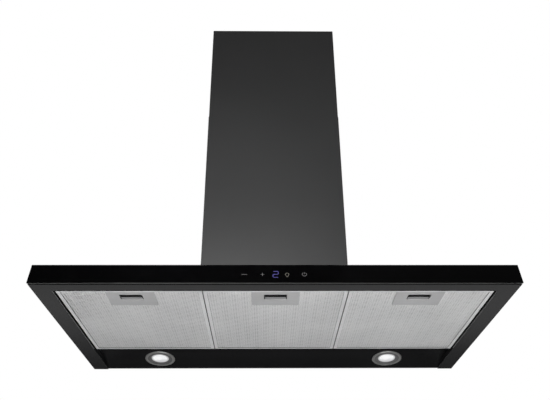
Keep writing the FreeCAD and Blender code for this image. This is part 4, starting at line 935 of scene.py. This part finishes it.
def cover(name, node, body, extra):
    """A C-shaped sheet on end: the front, two sides and a return along the wall on each side."""
    (x0, y0, z0), (x1, y1, z1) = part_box(node)
    line = [(x0 + cover_return, y1), (x0, y1), (x0, y0), (x1, y0), (x1, y1),
            (x1 - cover_return, y1)]
    section = closed_section(line, cover_sheet, cover_bend)
    n = len(section)
    points = [(p[0], p[1], z) for z in (z0, z1) for p in section]
    faces = band(n)
    half = n // 2
    for level in (0, n):
        for i in range(half - 1):
            faces.append((level + i, level + i + 1, level + n - 2 - i, level + n - 1 - i))
    made = joined(name, [(points, faces)] + extra, cover_black)
    soften(made)
    settle(made, body, "satin_black", node)


(x0, y0, z0), (x1, y1, z1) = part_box("chimney_lower")
feet = [block(low, high, y0 + cover_sheet, y1 - cover_sheet, z0, z0 + cover_sheet)
        for low, high in ((x0 + cover_sheet, x0 + cover_sheet + cover_foot),
                          (x1 - cover_sheet - cover_foot, x1 - cover_sheet))]
cover("chimney_lower_cover", "chimney_lower", "hood", feet)
cover("chimney_upper_cover", "chimney_upper", "upper_cover", [])

# ---- Brackets and air box -----------------------------------------------------------
# Galvanised sheet, folded and screwed: the air box on the canopy, the hanging bracket
# and hooks on the wall side, and the two brackets that hold the covers.
bracket_edge = 0.4 * mm
spangle, ins, outs = effect("spangle", [("Scale", "Float", 90.0)],
                            [("Shade", "Float"), ("Height", "Float")])
where = own_place(spangle)
warp = place(spangle, "TexNoise", {"Vector": where, "Scale": 35.0, "Detail": 2.0}).outputs["Color"]
pull = place(spangle, "VectorMath", {0: warp, "Scale": 0.012}, operation="SCALE").outputs[0]
bent_where = place(spangle, "VectorMath", {0: where, 1: pull}, operation="ADD").outputs[0]
crystals = place(spangle, "TexVoronoi", {"Vector": bent_where, "Scale": ins.outputs["Scale"]})
grey = place(spangle, "SeparateColor", {"Color": crystals.outputs["Color"]}).outputs[0]
spangle.links.new(grey, outs.inputs["Shade"])
spangle.links.new(crystals.outputs["Distance"], outs.inputs["Height"])

zinc, tree, shader = finish_of("zinc", {"Metallic": 0.85})
flakes = group_in(tree, spangle, {"Scale": 150.0})
patch = group_in(tree, patches, {"Scale": 5.0}).outputs["Mask"]
shade = mixed(tree, flakes.outputs["Shade"], (0.46, 0.48, 0.50, 1), (0.55, 0.57, 0.59, 1))
shade = mixed(tree, ranged(tree, patch, 0, 1, 0, 0.25), shade, (0.46, 0.47, 0.47, 1))
shade = mixed(tree, rubbed_edges(tree, 0.5), shade, (0.75, 0.76, 0.78, 1))
tree.links.new(shade, shader.inputs["Base Color"])
tree.links.new(ranged(tree, flakes.outputs["Shade"], 0, 1, 0.42, 0.52), shader.inputs["Roughness"])
bumped(tree, shader, flakes.outputs["Height"], 0.15, 0.05)
for node in ("air_box", "wall_bracket", "hang_hooks", "chimney_bracket_upper",
             "chimney_bracket_lower", "motor_bracket"):
    eased(node, bracket_edge, zinc, "hood", "zinc")

# ---- Blower -------------------------------------------------------------------------
# Two moulded scroll halves round a double-width wheel on the motor's shaft, with the
# motor on three rubber bushes and a finger guard over the inlet.
scroll_edge, motor_edge = 0.5 * mm, 1.0 * mm
grey_plastic = coated("grey_plastic", (0.085, 0.086, 0.09, 1), 0.52, scale=520, depth=0.06,
                      spread=0.15)
wheel_plastic = coated("wheel_plastic", (0.62, 0.62, 0.60, 1), 0.48, scale=520, depth=0.05,
                       spread=0.06, wear=0.0)
motor_steel = coated("motor_steel", (0.22, 0.225, 0.23, 1), 0.4, scale=800, depth=0.03,
                     spread=0.15, metal=0.6)
shaft_steel = bare_metal("shaft_steel", (0.55, 0.55, 0.55, 1), 0.25, stretch=(1.0, 0.02, 1.0))
rubber = coated("rubber", (0.018, 0.018, 0.018, 1), 0.85, scale=420, depth=0.08,
                spread=0.3, wear=0.0)
screw_zinc = bare_metal("screw_zinc", (0.60, 0.60, 0.57, 1), 0.3, stretch=(1, 1, 1), scale=1500.0)
eased("scroll_front", scroll_edge, grey_plastic, "hood", "grey_plastic")
eased("scroll_rear", scroll_edge, grey_plastic, "hood", "grey_plastic")
dress(grey_plastic, "inlet_guard")
dress(wheel_plastic, "impeller")
eased("motor_body", motor_edge, motor_steel, "hood", "motor_steel")
dress(shaft_steel, "motor_shaft", "flap_pin")
dress(rubber, "motor_bushes")
dress(screw_zinc, "motor_screws", "case_screws")

# ---- Outlet -------------------------------------------------------------------------
# The adapter from the scroll's neck to the round collar, with two light flaps on one pin
# that close when the blower stops.
adapter_edge, collar_edge, flap_edge = 0.4 * mm, 0.5 * mm, 0.3 * mm
flap_plastic = coated("flap_plastic", (0.20, 0.20, 0.21, 1), 0.5, scale=600, depth=0.04,
                      spread=0.12)
eased("outlet_adapter", adapter_edge, black_plastic, "hood", "black_plastic")
eased("outlet_collar", collar_edge, black_plastic, "hood", "black_plastic")
for flap in ("flap_left", "flap_right"):
    eased(flap, flap_edge, flap_plastic, flap, "flap_plastic")

# ---- Electrics ----------------------------------------------------------------------
# A white moulded box with a lid beside the blower holds the main board and the motor's
# capacitor; the mains inlet gland is in its top, and the lamps' driver lies on the panel.
box_edge, can_edge, gland_edge = 0.6 * mm, 0.8 * mm, 0.5 * mm
white_plastic = coated("white_plastic", (0.60, 0.60, 0.58, 1), 0.45, scale=600, depth=0.05,
                       spread=0.05, wear=0.0)
can_white = coated("can_white", (0.66, 0.66, 0.63, 1), 0.35, scale=500, depth=0.02,
                   spread=0.05, wear=0.0)
for node, edge in (("control_box", box_edge), ("control_box_lid", box_edge),
                   ("led_driver", can_edge)):
    eased(node, edge, white_plastic, "hood", "white_plastic")
eased("motor_capacitor", can_edge, can_white, "hood", "capacitor_can")
eased("cable_gland", gland_edge, black_plastic, "hood", "black_plastic")
